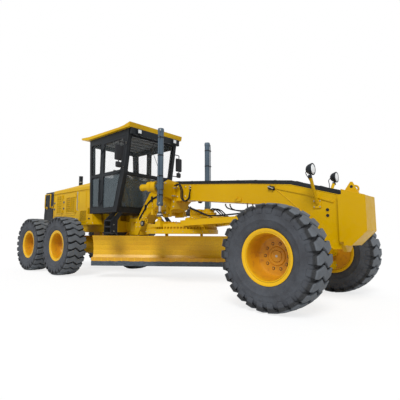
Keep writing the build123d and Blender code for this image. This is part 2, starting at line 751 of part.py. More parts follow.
def cab_shell():
    """Hollow cab of floor, pillars and sills."""
    outer = side_plate(cab_side(0, CAB_Z, CAB_TOP_Z), -CAB_HALF, CAB_HALF)
    inside = cab_side(CAB_WALL, CAB_Z + CAB_WALL, CAB_TOP_Z - CAB_WALL)
    inner = side_plate(inside, -CAB_HALF + CAB_WALL, CAB_HALF - CAB_WALL)
    cab = outer - inner
    cab = cab - side_plate(door_outline(0), -CAB_HALF - 5, -CAB_HALF + CAB_WALL + 5)
    cab = cab - side_plate(door_outline(0), CAB_HALF - CAB_WALL - 5, CAB_HALF + 5)
    for low, high, half in FRONT_PANES:
        cab = cab - block(-480, 100, -half, half, low, high)
    for low, high, half in REAR_PANES:
        cab = cab - block(-1600, -1350, -half, half, low, high)
    for low, high in QUARTER_PANES:
        cab = cab - side_plate(quarter_outline(low, high), -CAB_HALF - 5, CAB_HALF + 5)
    for z in (DOOR_LOW + CAB_HINGE_LOW, DOOR_HIGH - CAB_HINGE_HIGH):
        cab = cab + both_sides(hinge_leaf(DOOR_REAR + GAP / 2, -CAB_HALF, z, -1))
    return cab


def quarter_outline(low, high):
    """Outline of the fixed side window behind the door."""
    front = B_PILLAR_X - B_PILLAR_HALF
    return [(front, low), (front, high), (rear_x(high) + PILLAR, high), (rear_x(low) + PILLAR, low)]


def cab_glass():
    """Fixed panes of the cab, each in its opening."""
    panes = []
    mid = CAB_WALL / 2
    for low, high, half in FRONT_PANES:
        outline = [
            (front_x(low) - mid, low + 1),
            (front_x(low) - mid + GLASS_T, low + 1),
            (front_x(high) - mid + GLASS_T, high - 1),
            (front_x(high) - mid, high - 1),
        ]
        panes.append(side_plate(outline, -half + RUN, half - RUN))
    for low, high, half in REAR_PANES:
        outline = [
            (rear_x(low) + mid, low + 1),
            (rear_x(low) + mid + GLASS_T, low + 1),
            (rear_x(high) + mid + GLASS_T, high - 1),
            (rear_x(high) + mid, high - 1),
        ]
        panes.append(side_plate(outline, -half + RUN, half - RUN))
    for low, high in QUARTER_PANES:
        front = B_PILLAR_X - B_PILLAR_HALF - RUN
        outline = [
            (front, low + RUN),
            (front, high - RUN),
            (rear_x(high) + PILLAR + 1, high - RUN),
            (rear_x(low) + PILLAR + 1, low + RUN),
        ]
        panes.append(both_sides(side_plate(outline, -CAB_HALF + mid, -CAB_HALF + mid + GLASS_T)))
    return total(panes)


def cab_door():
    """Right-hand door: frame, waist bar, hinges and handle."""
    door = side_plate(door_outline(GAP), -CAB_HALF, -CAB_HALF + CAB_WALL)
    for low, high in DOOR_PANES:
        window = side_plate(pane_outline(GAP + SASH, low, high), -CAB_HALF - 5, -CAB_HALF + CAB_WALL + 5)
        door = door - window
    for z in (DOOR_LOW + CAB_HINGE_LOW, DOOR_HIGH - CAB_HINGE_HIGH):
        door = door + hinge_leaf(DOOR_REAR + GAP / 2, -CAB_HALF, z + 40 + RUN, 1)
    x1 = front_x(WAIST_Z) - PILLAR - 70
    z0, z1 = WAIST_Z - HANDLE_HALF_H, WAIST_Z + HANDLE_HALF_H
    return door + block(x1 - HANDLE_L, x1, -CAB_HALF - 22, -CAB_HALF, z0, z1)


def door_glass():
    """Panes of the right-hand door."""
    panes = []
    for low, high in DOOR_PANES:
        outline = pane_outline(GAP + SASH + RUN, low + RUN, high - RUN)
        panes.append(side_plate(outline, -CAB_HALF + 20, -CAB_HALF + 20 + GLASS_T))
    return total(panes)


def cab_roof():
    """Dished roof that overhangs the cab, its front and rear edges turned up."""
    # top edge from the rear forwards, as x and depth below the highest point
    top = [(ROOF_REAR_X, 0.0), (-1450.0, 28.0), (-250.0, 48.0), (-60.0, 36.0), (ROOF_FRONT_X, 0.0)]
    under = [
        (ROOF_FRONT_X - 8, ROOF_Z - ROOF_EDGE),
        (HEADER_X, CAB_TOP_Z),
        (CAB_REAR[0][0], CAB_TOP_Z),
        (ROOF_REAR_X + 8, ROOF_Z - ROOF_EDGE),
    ]
    outline = [(x, ROOF_Z - depth) for x, depth in top] + under
    return side_plate(outline, -ROOF_HALF, ROOF_HALF)


def header():
    """Band under the front edge of the roof that carries the work lamps."""
    return block(front_x(HEADER_Z) + 45, HEADER_X, -CAB_HALF, CAB_HALF, HEADER_Z, CAB_TOP_Z)


def work_lamps():
    """Four lamps: two on the header and two on the rear of the cab."""
    lamps = []
    front_z, back_z = CAB_TOP_Z - 70, CAB_TOP_Z - 80
    back = rear_x(CAB_TOP_Z - 25) - RUN
    for y in (-WORK_LAMP_Y, WORK_LAMP_Y):
        lamps.append(rod((HEADER_X, y, front_z), (HEADER_X + 45, y, front_z), WORK_LAMP_R))
        lamps.append(rod((back, y, back_z), (back - 60, y, back_z), WORK_LAMP_R - 3))
    return total(lamps)


def seat():
    """Operator's seat on its pedestal."""
    top = SEAT_Z + SEAT_T
    base = block(SEAT_X0 + 60, SEAT_X1 - 130, -170, 170, CAB_Z + CAB_WALL, SEAT_Z)
    cushion = block(SEAT_X0, SEAT_X1, -SEAT_HALF, SEAT_HALF, SEAT_Z, top)
    back = [(SEAT_X0, top), (SEAT_X0 + 130, top), (SEAT_X0 + 60, 2520), (SEAT_X0 - 40, 2520)]
    post0, post1 = SEAT_X0 + 100, SEAT_X0 + 170
    inner = -SEAT_HALF - 2
    pad_z = ARMREST_Z - 60
    rest = block(post0, SEAT_X1 - 80, -ARMREST_Y, inner, pad_z, ARMREST_Z)
    rest = rest + block(post0, post1, -ARMREST_Y, inner, SEAT_Z + 50, pad_z)
    link = block(post0, post1, -ARMREST_Y, ARMREST_Y, SEAT_Z + 50, SEAT_Z + 120)
    return base + cushion + side_plate(back, -250, 250) + both_sides(rest) + link


def console():
    """Control pedestal with its steering wheel and lever rack."""
    x, y, z = STEER_WHEEL
    tilt = Pos(x, y, z) * Rot(Y=-35)
    inner = STEER_WHEEL_R - 25
    wheel = tilt * (Cylinder(STEER_WHEEL_R, STEER_WHEEL_T) - Cylinder(inner, STEER_WHEEL_T))
    spokes = tilt * (Box(2 * inner + 10, 26, 16) + Box(26, 2 * inner + 10, 16))
    shaft = rod((x + 50, 0, z - 70), (x, 0, z + 2), 18)
    return side_plate(COLUMN, -120, 120) + side_plate(LEVER_RACK, -330, 330) + wheel + spokes + shaft


def mirrors():
    """Mirror heads on arms at the front corners of the cab."""
    x, y, r = MIRROR_X, MIRROR_Y, MIRROR_ARM_R
    arm = slim_bar((x, y, MIRROR_ARM_Z[1]), (x, y, MIRROR_ARM_Z[0]), r)
    for z in reversed(MIRROR_FEET_Z):
        foot_x = front_x(z) - PILLAR / 2
        foot = block(foot_x - 20, foot_x + 20, -CAB_HALF - 16, -CAB_HALF - RUN, z - 30, z + 30)
        arm = arm + foot + slim_bar((foot_x, -CAB_HALF - 12, z), (x, y, z), r)
    x0, x1 = x - MIRROR_HALF_T, x + MIRROR_HALF_T
    head = block(x0, x1, y - MIRROR_HALF, y + MIRROR_HALF, *MIRROR_Z)
    small = rod((x0 + 5, y, SMALL_MIRROR_Z), (x1, y, SMALL_MIRROR_Z), SMALL_MIRROR_R)
    return both_sides(arm + head + small)


def steps():
    """Access steps under the cab doors: two deep side plates on slanted hangers, with treads."""
    inner = -CAB_HALF - 10
    outer = inner - STEP_OUT
    hanger_z = STEP_HIGH_Z - 10
    hanger = [(inner, hanger_z), (outer, hanger_z), (-CAB_HALF + 30, CAB_Z), (-CAB_HALF + 130, CAB_Z)]
    pieces = []
    for x in (STEP_X - STEP_HALF, STEP_X + STEP_HALF):
        x0, x1 = x - STEP_RAIL_T / 2, x + STEP_RAIL_T / 2
        pieces.append(block(x0, x1, outer, inner, STEP_LOW_Z, STEP_HIGH_Z))
        pieces.append(end_plate(hanger, x0, x1))
    x0, x1 = STEP_X - STEP_HALF, STEP_X + STEP_HALF
    span = (STEP_HIGH_Z - STEP_LOW_Z - STEP_TREAD_T) / 2
    for number in range(3):
        low = STEP_LOW_Z + number * span
        pieces.append(block(x0, x1, outer, inner, low, low + STEP_TREAD_T))
    return both_sides(total(pieces))


# ---------------------------------------------------------------- front frame
def front_frame():
    """Gooseneck, box beam and deep nose in one weldment, with its hinge lugs."""
    beam = side_plate(BEAM_TOP + BEAM_BOTTOM, -BEAM_HALF, BEAM_HALF)
    for z0 in (HINGE_Z0 - RUN - LUG_T, HINGE_Z1 + RUN):
        lug = block(PIVOT_X, FRAME_TAIL_X + 160, -LUG_EYE_R, LUG_EYE_R, z0, z0 + LUG_T)
        beam = beam + lug + Pos(PIVOT_X, 0, z0 + LUG_T / 2) * Cylinder(LUG_EYE_R, LUG_T)
    beam = beam + rod((PIVOT_X, 0, HINGE_Z0 - 100), (PIVOT_X, 0, HINGE_Z1 + 100), PIN_R)
    beam = beam + end_plate(NOSE_PLATE, FRAME_NOSE_X, FRAME_NOSE_X + NOSE_PLATE_T)
    for x0 in (FRONT_AXLE_X - 260, FRONT_AXLE_X + 130):
        beam = beam + end_plate(AXLE_PLATE, x0, x0 + AXLE_PLATE_T)
    pin_start = (FRONT_AXLE_X - 270, 0, AXLE_PIN_Z)
    pin_end = (FRONT_AXLE_X + 185, 0, AXLE_PIN_Z)
    beam = beam + rod(pin_start, pin_end, AXLE_PIN_R)
    outline = [
        (BALL_X + 80, 1500),
        (BALL_X + 80, BALL_Z - 100),
        (BALL_X + 170, BALL_Z - 100),
        (BALL_X + 380, BALL_Z + 60),
    ]
    hanger = side_plate(outline, -120, 120)
    low, high = BALL_Z - SWIVEL_HALF, BALL_Z + SWIVEL_HALF
    for z0 in (low - 12, high + 12 - SWIVEL_EAR_T):
        hanger = hanger + block(BALL_X - 42, BALL_X + 90, -42, 42, z0, z0 + SWIVEL_EAR_T)
    return beam + (hanger - rod((BALL_X, 0, low), (BALL_X, 0, high), SWIVEL_R + RUN))


def hose_cover():
    """Low cover along the top of the beam."""
    edge = BEAM_TOP[3:]
    raised = [(x, z + STRIP_T) for x, z in reversed(edge)]
    return side_plate(edge + raised, -STRIP_HALF, STRIP_HALF)


def front_block():
    """Push block on the nose plate, with a lifting eye."""
    x0 = FRAME_NOSE_X + NOSE_PLATE_T
    outline = [(x0, 1570), (BLOCK_X, 1470), (BLOCK_X, 1010), (x0 + 100, 810), (x0, 810)]
    body = side_plate(outline, -NOSE_PLATE_HALF, NOSE_PLATE_HALF)
    half = EYE_PLATE_T / 2
    top = EYE_Z + 40
    plate = [(x0 + 20, EYE_Z - 40), (x0 + 60, top), (x0 + 110, top), (x0 + 150, EYE_Z - 70)]
    eye = side_plate(plate, -half, half)
    return body + (eye - rod((x0 + 85, -20, EYE_Z), (x0 + 85, 20, EYE_Z), EYE_R))


def headlamps():
    """Round lamps on slanting stalks from the frame's flanks."""
    x, y, z = HEADLAMP_X, -HEADLAMP_Y, HEADLAMP_Z
    return both_sides(rod((x, y, z), (x + HEADLAMP_L, y, z), HEADLAMP_R))


def lamp_stalks():
    """Stalks of the headlamps."""
    x, y, under = HEADLAMP_X, -HEADLAMP_Y, HEADLAMP_Z - HEADLAMP_R
    foot = block(x - 40, x + 80, -BEAM_HALF - 14, -BEAM_HALF, 1330, 1450)
    foot = foot + block(x - 5, x + 45, -BEAM_HALF - 34, -BEAM_HALF - 14, 1370, 1430)
    stalk = slim_bar((x + 20, -BEAM_HALF - 26, 1405), (x + 50, y + 10, under - 5), STALK_R)
    cradle = block(x + 20, x + 80, y - 30, y + 30, under - 25, under - 0.5)
    return both_sides(foot + stalk + cradle)


def lift_axis_point(side, ahead):
    """Point on a lift cylinder's hinge axis, a distance ahead of the cylinder."""
    toe = math.radians(LIFT_TOE)
    return (LIFT_X + ahead * math.cos(toe), side * (LIFT_Y - ahead * math.sin(toe)), YOKE_Z)


def saddle():
    """Clamp round the beam with the two lift arms and their toed bosses."""
    beam = side_plate(BEAM_TOP + BEAM_BOTTOM, -BEAM_HALF - RUN, BEAM_HALF + RUN)
    plate = side_plate(SADDLE_SIDE, -BEAM_HALF - 45, BEAM_HALF + 45)
    plate = plate - beam - block(400, 1000, -STRIP_HALF - 5, STRIP_HALF + 5, 1900, 2200)
    plate = plate - block(400, 1000, -BEAM_HALF, BEAM_HALF, 1250, 1400)
    boss = rod(lift_axis_point(-1, -BARREL_R - 24), lift_axis_point(-1, -BARREL_R - 200), 92)
    start, end = ARM_X0 - CASTING_L, ARM_X0 + 20
    casting = rod((start, -CASTING_Y, CASTING_Z), (end, -CASTING_Y, CASTING_Z), CASTING_R)
    return plate + both_sides(end_plate(LIFT_ARM, ARM_X0, ARM_X1 - 60) + boss + casting)


def link_bar():
    """Perforated cross bar under the saddle, where the blade gear locks."""
    x0, x1 = LINK_BAR_X, LINK_BAR_X + LINK_BAR_T
    bar = block(x0, x1, -560, 430, LINK_BAR_Z0, LINK_BAR_Z1)
    holes = []
    for number in range(LINK_HOLES):
        y = -480 + number * LINK_HOLE_PITCH
        z = (LINK_BAR_Z0 + LINK_BAR_Z1) / 2
        holes.append(rod((x0 - 10, y, z), (x1 + 10, y, z), LINK_HOLE_R))
    return bar - total(holes)


# ---------------------------------------------------------------- front axle
def front_axle():
    """Arched axle beam that rocks on a pin, forked at the lean hinges."""
    half = AXLE_HALF_T
    end_y = KINGPIN_Y - BRACKET_BACK - 60
    # half outline from the middle out, y and z
    outline = [(0, 560), (330, 540), (end_y, 400), (end_y, 545), (390, 700), (150, 800), (0, 800)]
    mirrored = [(-y, z) for y, z in reversed(outline[1:-1])]
    beam = end_plate(outline + mirrored, FRONT_AXLE_X - half, FRONT_AXLE_X + half)
    start, end = (FRONT_AXLE_X - 200, 0, AXLE_PIN_Z), (FRONT_AXLE_X + 200, 0, AXLE_PIN_Z)
    beam = beam - rod(start, end, AXLE_PIN_R + RUN)
    for side in (-1, 1):
        y = side * KINGPIN_Y
        y0, y1 = sorted((y, side * (end_y - 20)))
        for x0 in (FRONT_AXLE_X - half, FRONT_AXLE_X + half - FORK_T):
            cheek = block(x0, x0 + FORK_T, y0, y1, LEAN_Z - LEAN_HUB_R, LEAN_Z + LEAN_HUB_R)
            beam = beam + cheek + rod((x0, y, LEAN_Z), (x0 + FORK_T, y, LEAN_Z), LEAN_HUB_R)
        beam = beam + rod((FRONT_AXLE_X - half, y, LEAN_Z), (FRONT_AXLE_X + half, y, LEAN_Z), LEAN_PIN_R)
    return beam


def lean_bracket(side):
    """Bracket that leans with the wheel and holds its kingpin between two ears."""
    x, y = FRONT_AXLE_X, side * KINGPIN_Y
    inner, back = side * (KINGPIN_Y - BRACKET_IN), side * (KINGPIN_Y - BRACKET_BACK)
    hub = rod((x - BRACKET_HALF, y, LEAN_Z), (x + BRACKET_HALF, y, LEAN_Z), LEAN_HUB_R)
    web = [
        (y, LEAN_Z - 40),
        (inner, LEAN_Z - 50),
        (back, LEAN_Z + 20),
        (back, EAR_HIGH_TOP_Z),
        (side * (KINGPIN_Y - 40), BRACKET_TOP_Z),
        (side * (KINGPIN_Y + 30), BRACKET_TOP_Z),
        (side * (KINGPIN_Y + 30), EAR_HIGH_TOP_Z - 10),
        (inner, EAR_HIGH_TOP_Z - 10),
        (inner, EAR_LOW_Z + 20),
        (y, EAR_LOW_Z + 20),
    ]
    bracket = hub + end_plate(web, x - BRACKET_HALF, x + BRACKET_HALF)
    for low, high in ((EAR_LOW_Z, EAR_LOW_TOP_Z), (EAR_HIGH_Z, EAR_HIGH_TOP_Z)):
        y0, y1 = sorted((inner, y))
        ear = Pos(x, y, (low + high) / 2) * Cylinder(BRACKET_HALF, high - low)
        bracket = bracket + ear + block(x - BRACKET_HALF, x + BRACKET_HALF, y0, y1, low, high)
    bracket = bracket + rod((LEAN_BAR_X - 32, y, LEAN_BAR_Z), (x, y, LEAN_BAR_Z), LEAN_BAR_PIN_R)
    hole = rod((x - 60, y, LEAN_Z), (x + 60, y, LEAN_Z), LEAN_PIN_R + RUN)
    return bracket - hole


def lean_bar():
    """Bar that keeps the two lean brackets parallel."""
    x0, x1 = LEAN_BAR_X - 28, LEAN_BAR_X + 28
    bar = block(x0, x1, -KINGPIN_Y, KINGPIN_Y, LEAN_BAR_Z - 30, LEAN_BAR_Z + 30)
    for side in (-1, 1):
        y = side * KINGPIN_Y
        bar = bar + rod((x0, y, LEAN_BAR_Z), (x1, y, LEAN_BAR_Z), LEAN_BAR_EYE_R)
        bar = bar - rod((x0 - 1, y, LEAN_BAR_Z), (x1 + 1, y, LEAN_BAR_Z), LEAN_BAR_PIN_R + RUN)
    return bar


def knuckle(side):
    """Steering knuckle: kingpin, spindle and cranked tie rod arm."""
    x, y = FRONT_AXLE_X, side * KINGPIN_Y
    pin = rod((x, y, EAR_LOW_TOP_Z + RUN), (x, y, EAR_HIGH_Z - RUN), KINGPIN_R)
    stub = rod((x, y, AXLE_Z), (x, side * (KINGPIN_Y + 75), AXLE_Z), STUB_R)
    spindle = rod((x, side * (KINGPIN_Y + 60), AXLE_Z), (x, side * (HUB_FACE - RUN), AXLE_Z), SPINDLE_R)
    out = side * (KINGPIN_Y + ARM_OUT)
    half = ARM_SIZE / 2
    crank = [
        (x, out + side * half),
        (x - 150, out + side * half),
        (TIE_X - 30, y + side * 30),
        (TIE_X - 30, y - side * 30),
        (TIE_X + 30, y - side * 30),
        (x - 140, out - side * half),
        (x, out - side * half),
    ]
    arm = floor_plate(crank, ARM_Z - half, ARM_Z + half)
    stud = rod((TIE_X, y, TIE_Z - 38), (TIE_X, y, ARM_Z), TIE_PIN_R)
    return pin + stub + spindle + arm + stud


def tie_end():
    """Swivel block that turns on the right-hand knuckle's stud and holds the tie rod's pin."""
    x, y, z, half = TIE_X, -KINGPIN_Y, TIE_Z, 32.0
    piece = block(x - half, x + half, y - half, y + half, z - half, z + half)
    piece = piece + rod((x - 62, y, z), (x + 62, y, z), TIE_PIN_R)
    return piece - rod((x, y, z - 40), (x, y, z + 40), TIE_PIN_R + RUN)


def tie_rod():
    """Tube that ties the two knuckle arms, with a fork at its right end and an eye at its left."""
    fork_y = -KINGPIN_Y + 60
    tube = rod((TIE_X, fork_y, TIE_Z), (TIE_X, KINGPIN_Y - 50, TIE_Z), TIE_ROD_R)
    fork = block(TIE_X - 58, TIE_X + 58, fork_y - 15, fork_y + 15, TIE_Z - 24, TIE_Z + 24)
    for x in (TIE_X - 50, TIE_X + 50):
        cheek = block(x - 14, x + 14, -KINGPIN_Y - 24, fork_y, TIE_Z - 24, TIE_Z + 24)
        fork = fork + cheek
    fork = fork - rod((TIE_X - 70, -KINGPIN_Y, TIE_Z), (TIE_X + 70, -KINGPIN_Y, TIE_Z), TIE_PIN_R + RUN)
    eye = Pos(TIE_X, KINGPIN_Y, TIE_Z) * (Cylinder(60, 36) - Cylinder(TIE_PIN_R + 16, 36))
    return tube + fork + eye


# ---------------------------------------------------------------- drawbar and circle
def drawbar_swivel():
    """Cross piece between the frame and the drawbar: an upright pin and a level pin in one."""
    upright = rod((BALL_X, 0, BALL_Z - SWIVEL_HALF), (BALL_X, 0, BALL_Z + SWIVEL_HALF), SWIVEL_R)
    level = rod((BALL_X, -SWIVEL_HALF, BALL_Z), (BALL_X, SWIVEL_HALF, BALL_Z), SWIVEL_BAR_R)
    return upright + level


def drawbar():
    """A-frame with its round plate, cross beam, fork and lift balls."""
    z0 = CIRCLE_TOP_Z + RUN
    plate = Cylinder(CIRCLE_R - 25, PLATE_T) - Cylinder(CIRCLE_INNER_R - 110, PLATE_T)
    frame = Pos(CIRCLE_X, 0, z0 + PLATE_T / 2) * plate
    for side in (-1, 1):
        front_end = (DRAWBAR_ARM_FRONT[0], side * DRAWBAR_ARM_FRONT[1], DRAWBAR_ARM_FRONT[2])
        rear_end = (DRAWBAR_ARM_REAR[0], side * DRAWBAR_ARM_REAR[1], DRAWBAR_ARM_REAR[2])
        frame = frame + box_beam(front_end, rear_end, DRAWBAR_ARM_W, DRAWBAR_ARM_H)
        cheek = [
            (BALL_X - 260, BALL_Z - 80),
            (BALL_X - 120, BALL_Z - 40),
            (BALL_X + 40, BALL_Z - 40),
            (BALL_X + 40, BALL_Z + 40),
            (BALL_X - 260, BALL_Z + 60),
        ]
        y0, y1 = sorted((side * 52, side * 86))
        frame = frame + side_plate(cheek, y0, y1)
    nose = block(BALL_X - 290, BALL_X - 190, -86, 86, BALL_Z - 80, BALL_Z + 60)
    cross = block(LIFT_X - 70, LIFT_X + 70, -LIFT_Y - 50, LIFT_Y + 50, z0, 1185)
    frame = frame + nose + cross
    frame = frame - rod((BALL_X, -90, BALL_Z), (BALL_X, 90, BALL_Z), SWIVEL_BAR_R + RUN)
    for side in (-1, 1):
        y = side * LIFT_Y
        frame = frame + rod((LIFT_X, y, 1180), (LIFT_X, y, BALL_Z - 20), 26) + knob(LIFT_X, y, BALL_Z, LIFT_BALL_R)
    return frame


def circle_drive():
    """Stepped gearbox that turns the circle, on the drawbar's plate."""
    base_z = CIRCLE_TOP_Z + RUN + PLATE_T
    half = DRIVE_HALF
    outline = [
        (DRIVE_X - 330, base_z),
        (DRIVE_X + 250, base_z),
        (DRIVE_X + 250, DRIVE_TOP_Z - 70),
        (DRIVE_X + 180, DRIVE_TOP_Z),
        (DRIVE_X - 290, DRIVE_TOP_Z),
        (DRIVE_X - 330, DRIVE_TOP_Z - 40),
    ]
    body = side_plate(outline, -half, half)
    # radius and top of each step
    for radius, top in ((160, 45), (120, 95), (70, 120)):
        body = body + rod((DRIVE_X, 0, DRIVE_TOP_Z - 10), (DRIVE_X, 0, DRIVE_TOP_Z + top), radius)
    return body


def circle():
    """Toothed ring under the drawbar."""
    low = CIRCLE_TOP_Z - CIRCLE_T
    tooth_low = CIRCLE_TOP_Z - TOOTH_H
    centre = Pos(CIRCLE_X, 0, low)
    ring = extrude(RegularPolygon(CIRCLE_R, CIRCLE_FLATS), amount=tooth_low - low)
    pitch = 2 * math.pi / CIRCLE_FLATS
    rim = []
    for number in range(CIRCLE_FLATS):
        for radius, share in TOOTH_CORNERS:
            angle = (number + share) * pitch
            rim.append((radius * math.cos(angle), radius * math.sin(angle)))
    teeth = extrude(make_face(Polyline(*rim, close=True)), amount=TOOTH_H)
    hole = extrude(RegularPolygon(CIRCLE_INNER_R, CIRCLE_FLATS), amount=CIRCLE_T)
    return centre * (ring + Pos(0, 0, tooth_low - low) * teeth - hole)


def blade_point(along, out, z):
    """Point in the blade's own directions: along it, out of its hollow face, and up."""
    turn = math.radians(BLADE_TURN)
    x = BLADE_END_X + along * math.cos(turn) + out * math.sin(turn)
    y = BLADE_END_Y + along * math.sin(turn) - out * math.cos(turn)
    return (x, y, z)


def blade_section(outline, start, end):
    """Solid with an outline in the blade's out and up directions, along the blade from start to end."""
    turn = math.radians(BLADE_TURN)
    out = (math.sin(turn), -math.cos(turn), 0)
    along = (math.cos(turn), math.sin(turn), 0)
    plane = Plane(origin=blade_point(start, 0, 0), x_dir=out, z_dir=along)
    # out x up = along reversed, so the outline is mirrored to keep up as up
    face = make_face(Polyline(*[(o, -z) for o, z in outline], close=True))
    return extrude(plane * face, amount=end - start)


def moldboard_profile(thick):
    """Points of the curved moldboard: front face up, back face down."""
    rise = BLADE_H
    steps_up = 6
    points = []
    for number in range(steps_up + 1):
        share = number / steps_up
        sag = BLADE_DEPTH * (1 - (2 * share - 1) ** 2)
        points.append((-sag, BLADE_Z + rise * share))
    back = [(o - thick, z) for o, z in reversed(points)]
    return points + back


def moldboard():
    """Curved blade plate with the slide rails on its back."""
    plate = blade_section(moldboard_profile(BLADE_T), 0, BLADE_L)
    rails = []
    for z in (SLIDE_LOW_Z, SLIDE_HIGH_Z):
        share = (z - BLADE_Z) / BLADE_H
        back = -BLADE_DEPTH * (1 - (2 * share - 1) ** 2) - BLADE_T + 8
        low, high = z - SLIDE_HALF, z + SLIDE_HALF
        section = [(back, low), (back, high), (SLIDE_BACK, high), (SLIDE_BACK, low)]
        rails.append(blade_section(section, SLIDE_START, SLIDE_END))
    return plate + total(rails)


def cutting_edge():
    """Bolt-on steel edge along the foot of the blade."""
    low, high = BLADE_Z - 25, BLADE_Z + EDGE_H
    return blade_section([(1, low), (1 + EDGE_T, low), (1 + EDGE_T, high), (1, high)], 0, BLADE_L)


def blade_carrier():
    """Tilting cradle that the blade slides in."""
    front = SLIDE_BACK - 5
    back = front - CARRIER_T
    low, high = CARRIER_LOW_Z, CARRIER_HIGH_Z
    pieces = []
    for start in (CARRIER_ALONG - CARRIER_HALF, CARRIER_ALONG + CARRIER_HALF - CARRIER_ARM_W):
        end = start + CARRIER_ARM_W
        pieces.append(blade_section([(back, low), (back, high), (front, high), (front, low)], start, end))
        for z in (SLIDE_LOW_Z, SLIDE_HIGH_Z):
            for lip in (z - SLIDE_HALF - RUN - SHOE_T, z + SLIDE_HALF + RUN):
                shoe = [(front - 5, lip), (front - 5, lip + SHOE_T), (front + 45, lip + SHOE_T), (front + 45, lip)]
                pieces.append(blade_section(shoe, start, end))
    tube_start = blade_point(CARRIER_ALONG - CARRIER_HALF, TIP_BACK, TIP_Z)
    tube_end = blade_point(CARRIER_ALONG + CARRIER_HALF, TIP_BACK, TIP_Z)
    return total(pieces) + rod(tube_start, tube_end, TIP_TUBE_R)


def circle_arms():
    """Arms from the circle down to the blade carrier, with round feet at its hinge."""
    z0 = CIRCLE_TOP_Z - CIRCLE_T
    axis = TIP_BACK
    pieces = []
    for start in (CARRIER_ALONG - 420, CARRIER_ALONG + 360):
        outline = [
            (axis - 45, TIP_Z),
            (axis + 30, TIP_Z + 20),
            (axis - 10, 840),
            (-100, 975),
            (-70, z0 + 20),
            (-70, z0 + 100),
            (axis - 30, z0 + 100),
            (axis - 60, 840),
        ]
        arm = blade_section(outline, start, start + 60)
        arm = arm + rod(blade_point(start, axis, TIP_Z), blade_point(start + 60, axis, TIP_Z), 54)
        bore_start, bore_end = blade_point(start - 10, axis, TIP_Z), blade_point(start + 70, axis, TIP_Z)
        pieces.append(arm - rod(bore_start, bore_end, TIP_TUBE_R + RUN))
    return total(pieces)


# ---------------------------------------------------------------- lift cylinders
def lift_barrel(side):
    """Barrel of a blade lift cylinder with its trunnion."""
    y = side * LIFT_Y
    barrel = rod((LIFT_X, y, BARREL_END_Z), (LIFT_X, y, BARREL_TOP_Z), BARREL_R)
    barrel = barrel + rod((LIFT_X, y, YOKE_Z - 55), (LIFT_X, y, YOKE_Z + 55), BARREL_R + 12)
    bore = rod((LIFT_X, y, BARREL_END_Z), (LIFT_X, y, BARREL_TOP_Z - 40), ROD_R + RUN)
    trunnion = rod(lift_axis_point(side, -BARREL_R - 24 + RUN), lift_axis_point(side, -ROD_R - 15), 42)
    return barrel + trunnion - bore


def lift_rod(side):
    """Rod of a blade lift cylinder with the cap that sits over the drawbar's ball."""
    y = side * LIFT_Y
    cap_z = BALL_Z + 0.95 * LIFT_BALL_R + LIFT_GAP
    shaft = rod((LIFT_X, y, cap_z + 20), (LIFT_X, y, BARREL_TOP_Z - 300), ROD_R)
    return shaft + rod((LIFT_X, y, cap_z), (LIFT_X, y, cap_z + 48), LIFT_CAP_R)


# ---------------------------------------------------------------- the assembly
NODES = {
    "rear_frame": rear_frame(),
    "tail_guard": tail_guard() + tail_grille(),
    "engine": engine(),
    "tandem_axle": rear_axle() + tandem(-1) + tandem(1),
    "hood": hood(),
    "exhaust": exhaust(),
    "side_boxes": side_box(-1) + side_box(1),
    "handrails": handrails(),
    "cab_shell": cab_shell() + header(),
    "cab_glass": cab_glass(),
    "cab_roof": cab_roof(),
    "work_lamps": work_lamps(),
    "operator_station": seat() + console(),
    "mirrors": mirrors(),
    "steps": steps(),
    "front_frame": front_frame(),
    "hose_cover": hose_cover(),
    "front_block": front_block(),
    "headlamps": headlamps() + lamp_stalks(),
    "saddle": saddle() + link_bar(),
    "front_axle": front_axle(),
    "lean_bar": lean_bar(),
    "tie_end": tie_end(),
    "tie_rod": tie_rod(),
    "drawbar_swivel": drawbar_swivel(),
    "drawbar": drawbar(),
    "circle_drive": circle_drive(),
    "circle": circle() + circle_arms(),
    "blade_carrier": blade_carrier(),
    "moldboard": moldboard(),
    "cutting_edge": cutting_edge(),
}
for name, rear, front, *grille in HOOD_DOORS:
    door = hood_door(rear, front, grille)
    NODES[f"hood_door_{name}_right"] = door
    NODES[f"hood_door_{name}_left"] = mirror(door, about=Plane.XZ)
for side, word in ((-1, "right"), (1, "left")):
    NODES[f"cab_door_{word}"] = cab_door() if side < 0 else mirror(cab_door(), about=Plane.XZ)
    NODES[f"door_glass_{word}"] = door_glass() if side < 0 else mirror(door_glass(), about=Plane.XZ)
    NODES[f"lean_bracket_{word}"] = lean_bracket(side)
    NODES[f"knuckle_{word}"] = mirror(knuckle(1), about=Plane.XZ) if side < 0 else knuckle(1)
    NODES[f"lift_barrel_{word}"] = lift_barrel(side)
    NODES[f"lift_rod_{word}"] = lift_rod(side)
ONE_TYRE = tyre()
ONE_RIM = rim()
for name, axle_x, side in WHEELS:
    NODES[f"tyre_{name}"] = placed_wheel(ONE_TYRE, axle_x, side)
    NODES[f"rim_{name}"] = placed_wheel(ONE_RIM, axle_x, side)

for name, solid in NODES.items():
    export_step(solid, f"parts/{name}.step")
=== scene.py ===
# %% [markdown]
# # Motor grader: the looks
# The solids come packed as a fixed frame. This script gives every surface its finish, swaps the
# plain stand-ins for detailed meshes, and sets up a small studio with one camera.

# %% Load the frame
import json
import math

import bmesh
import bpy
from mathutils import Matrix, Vector


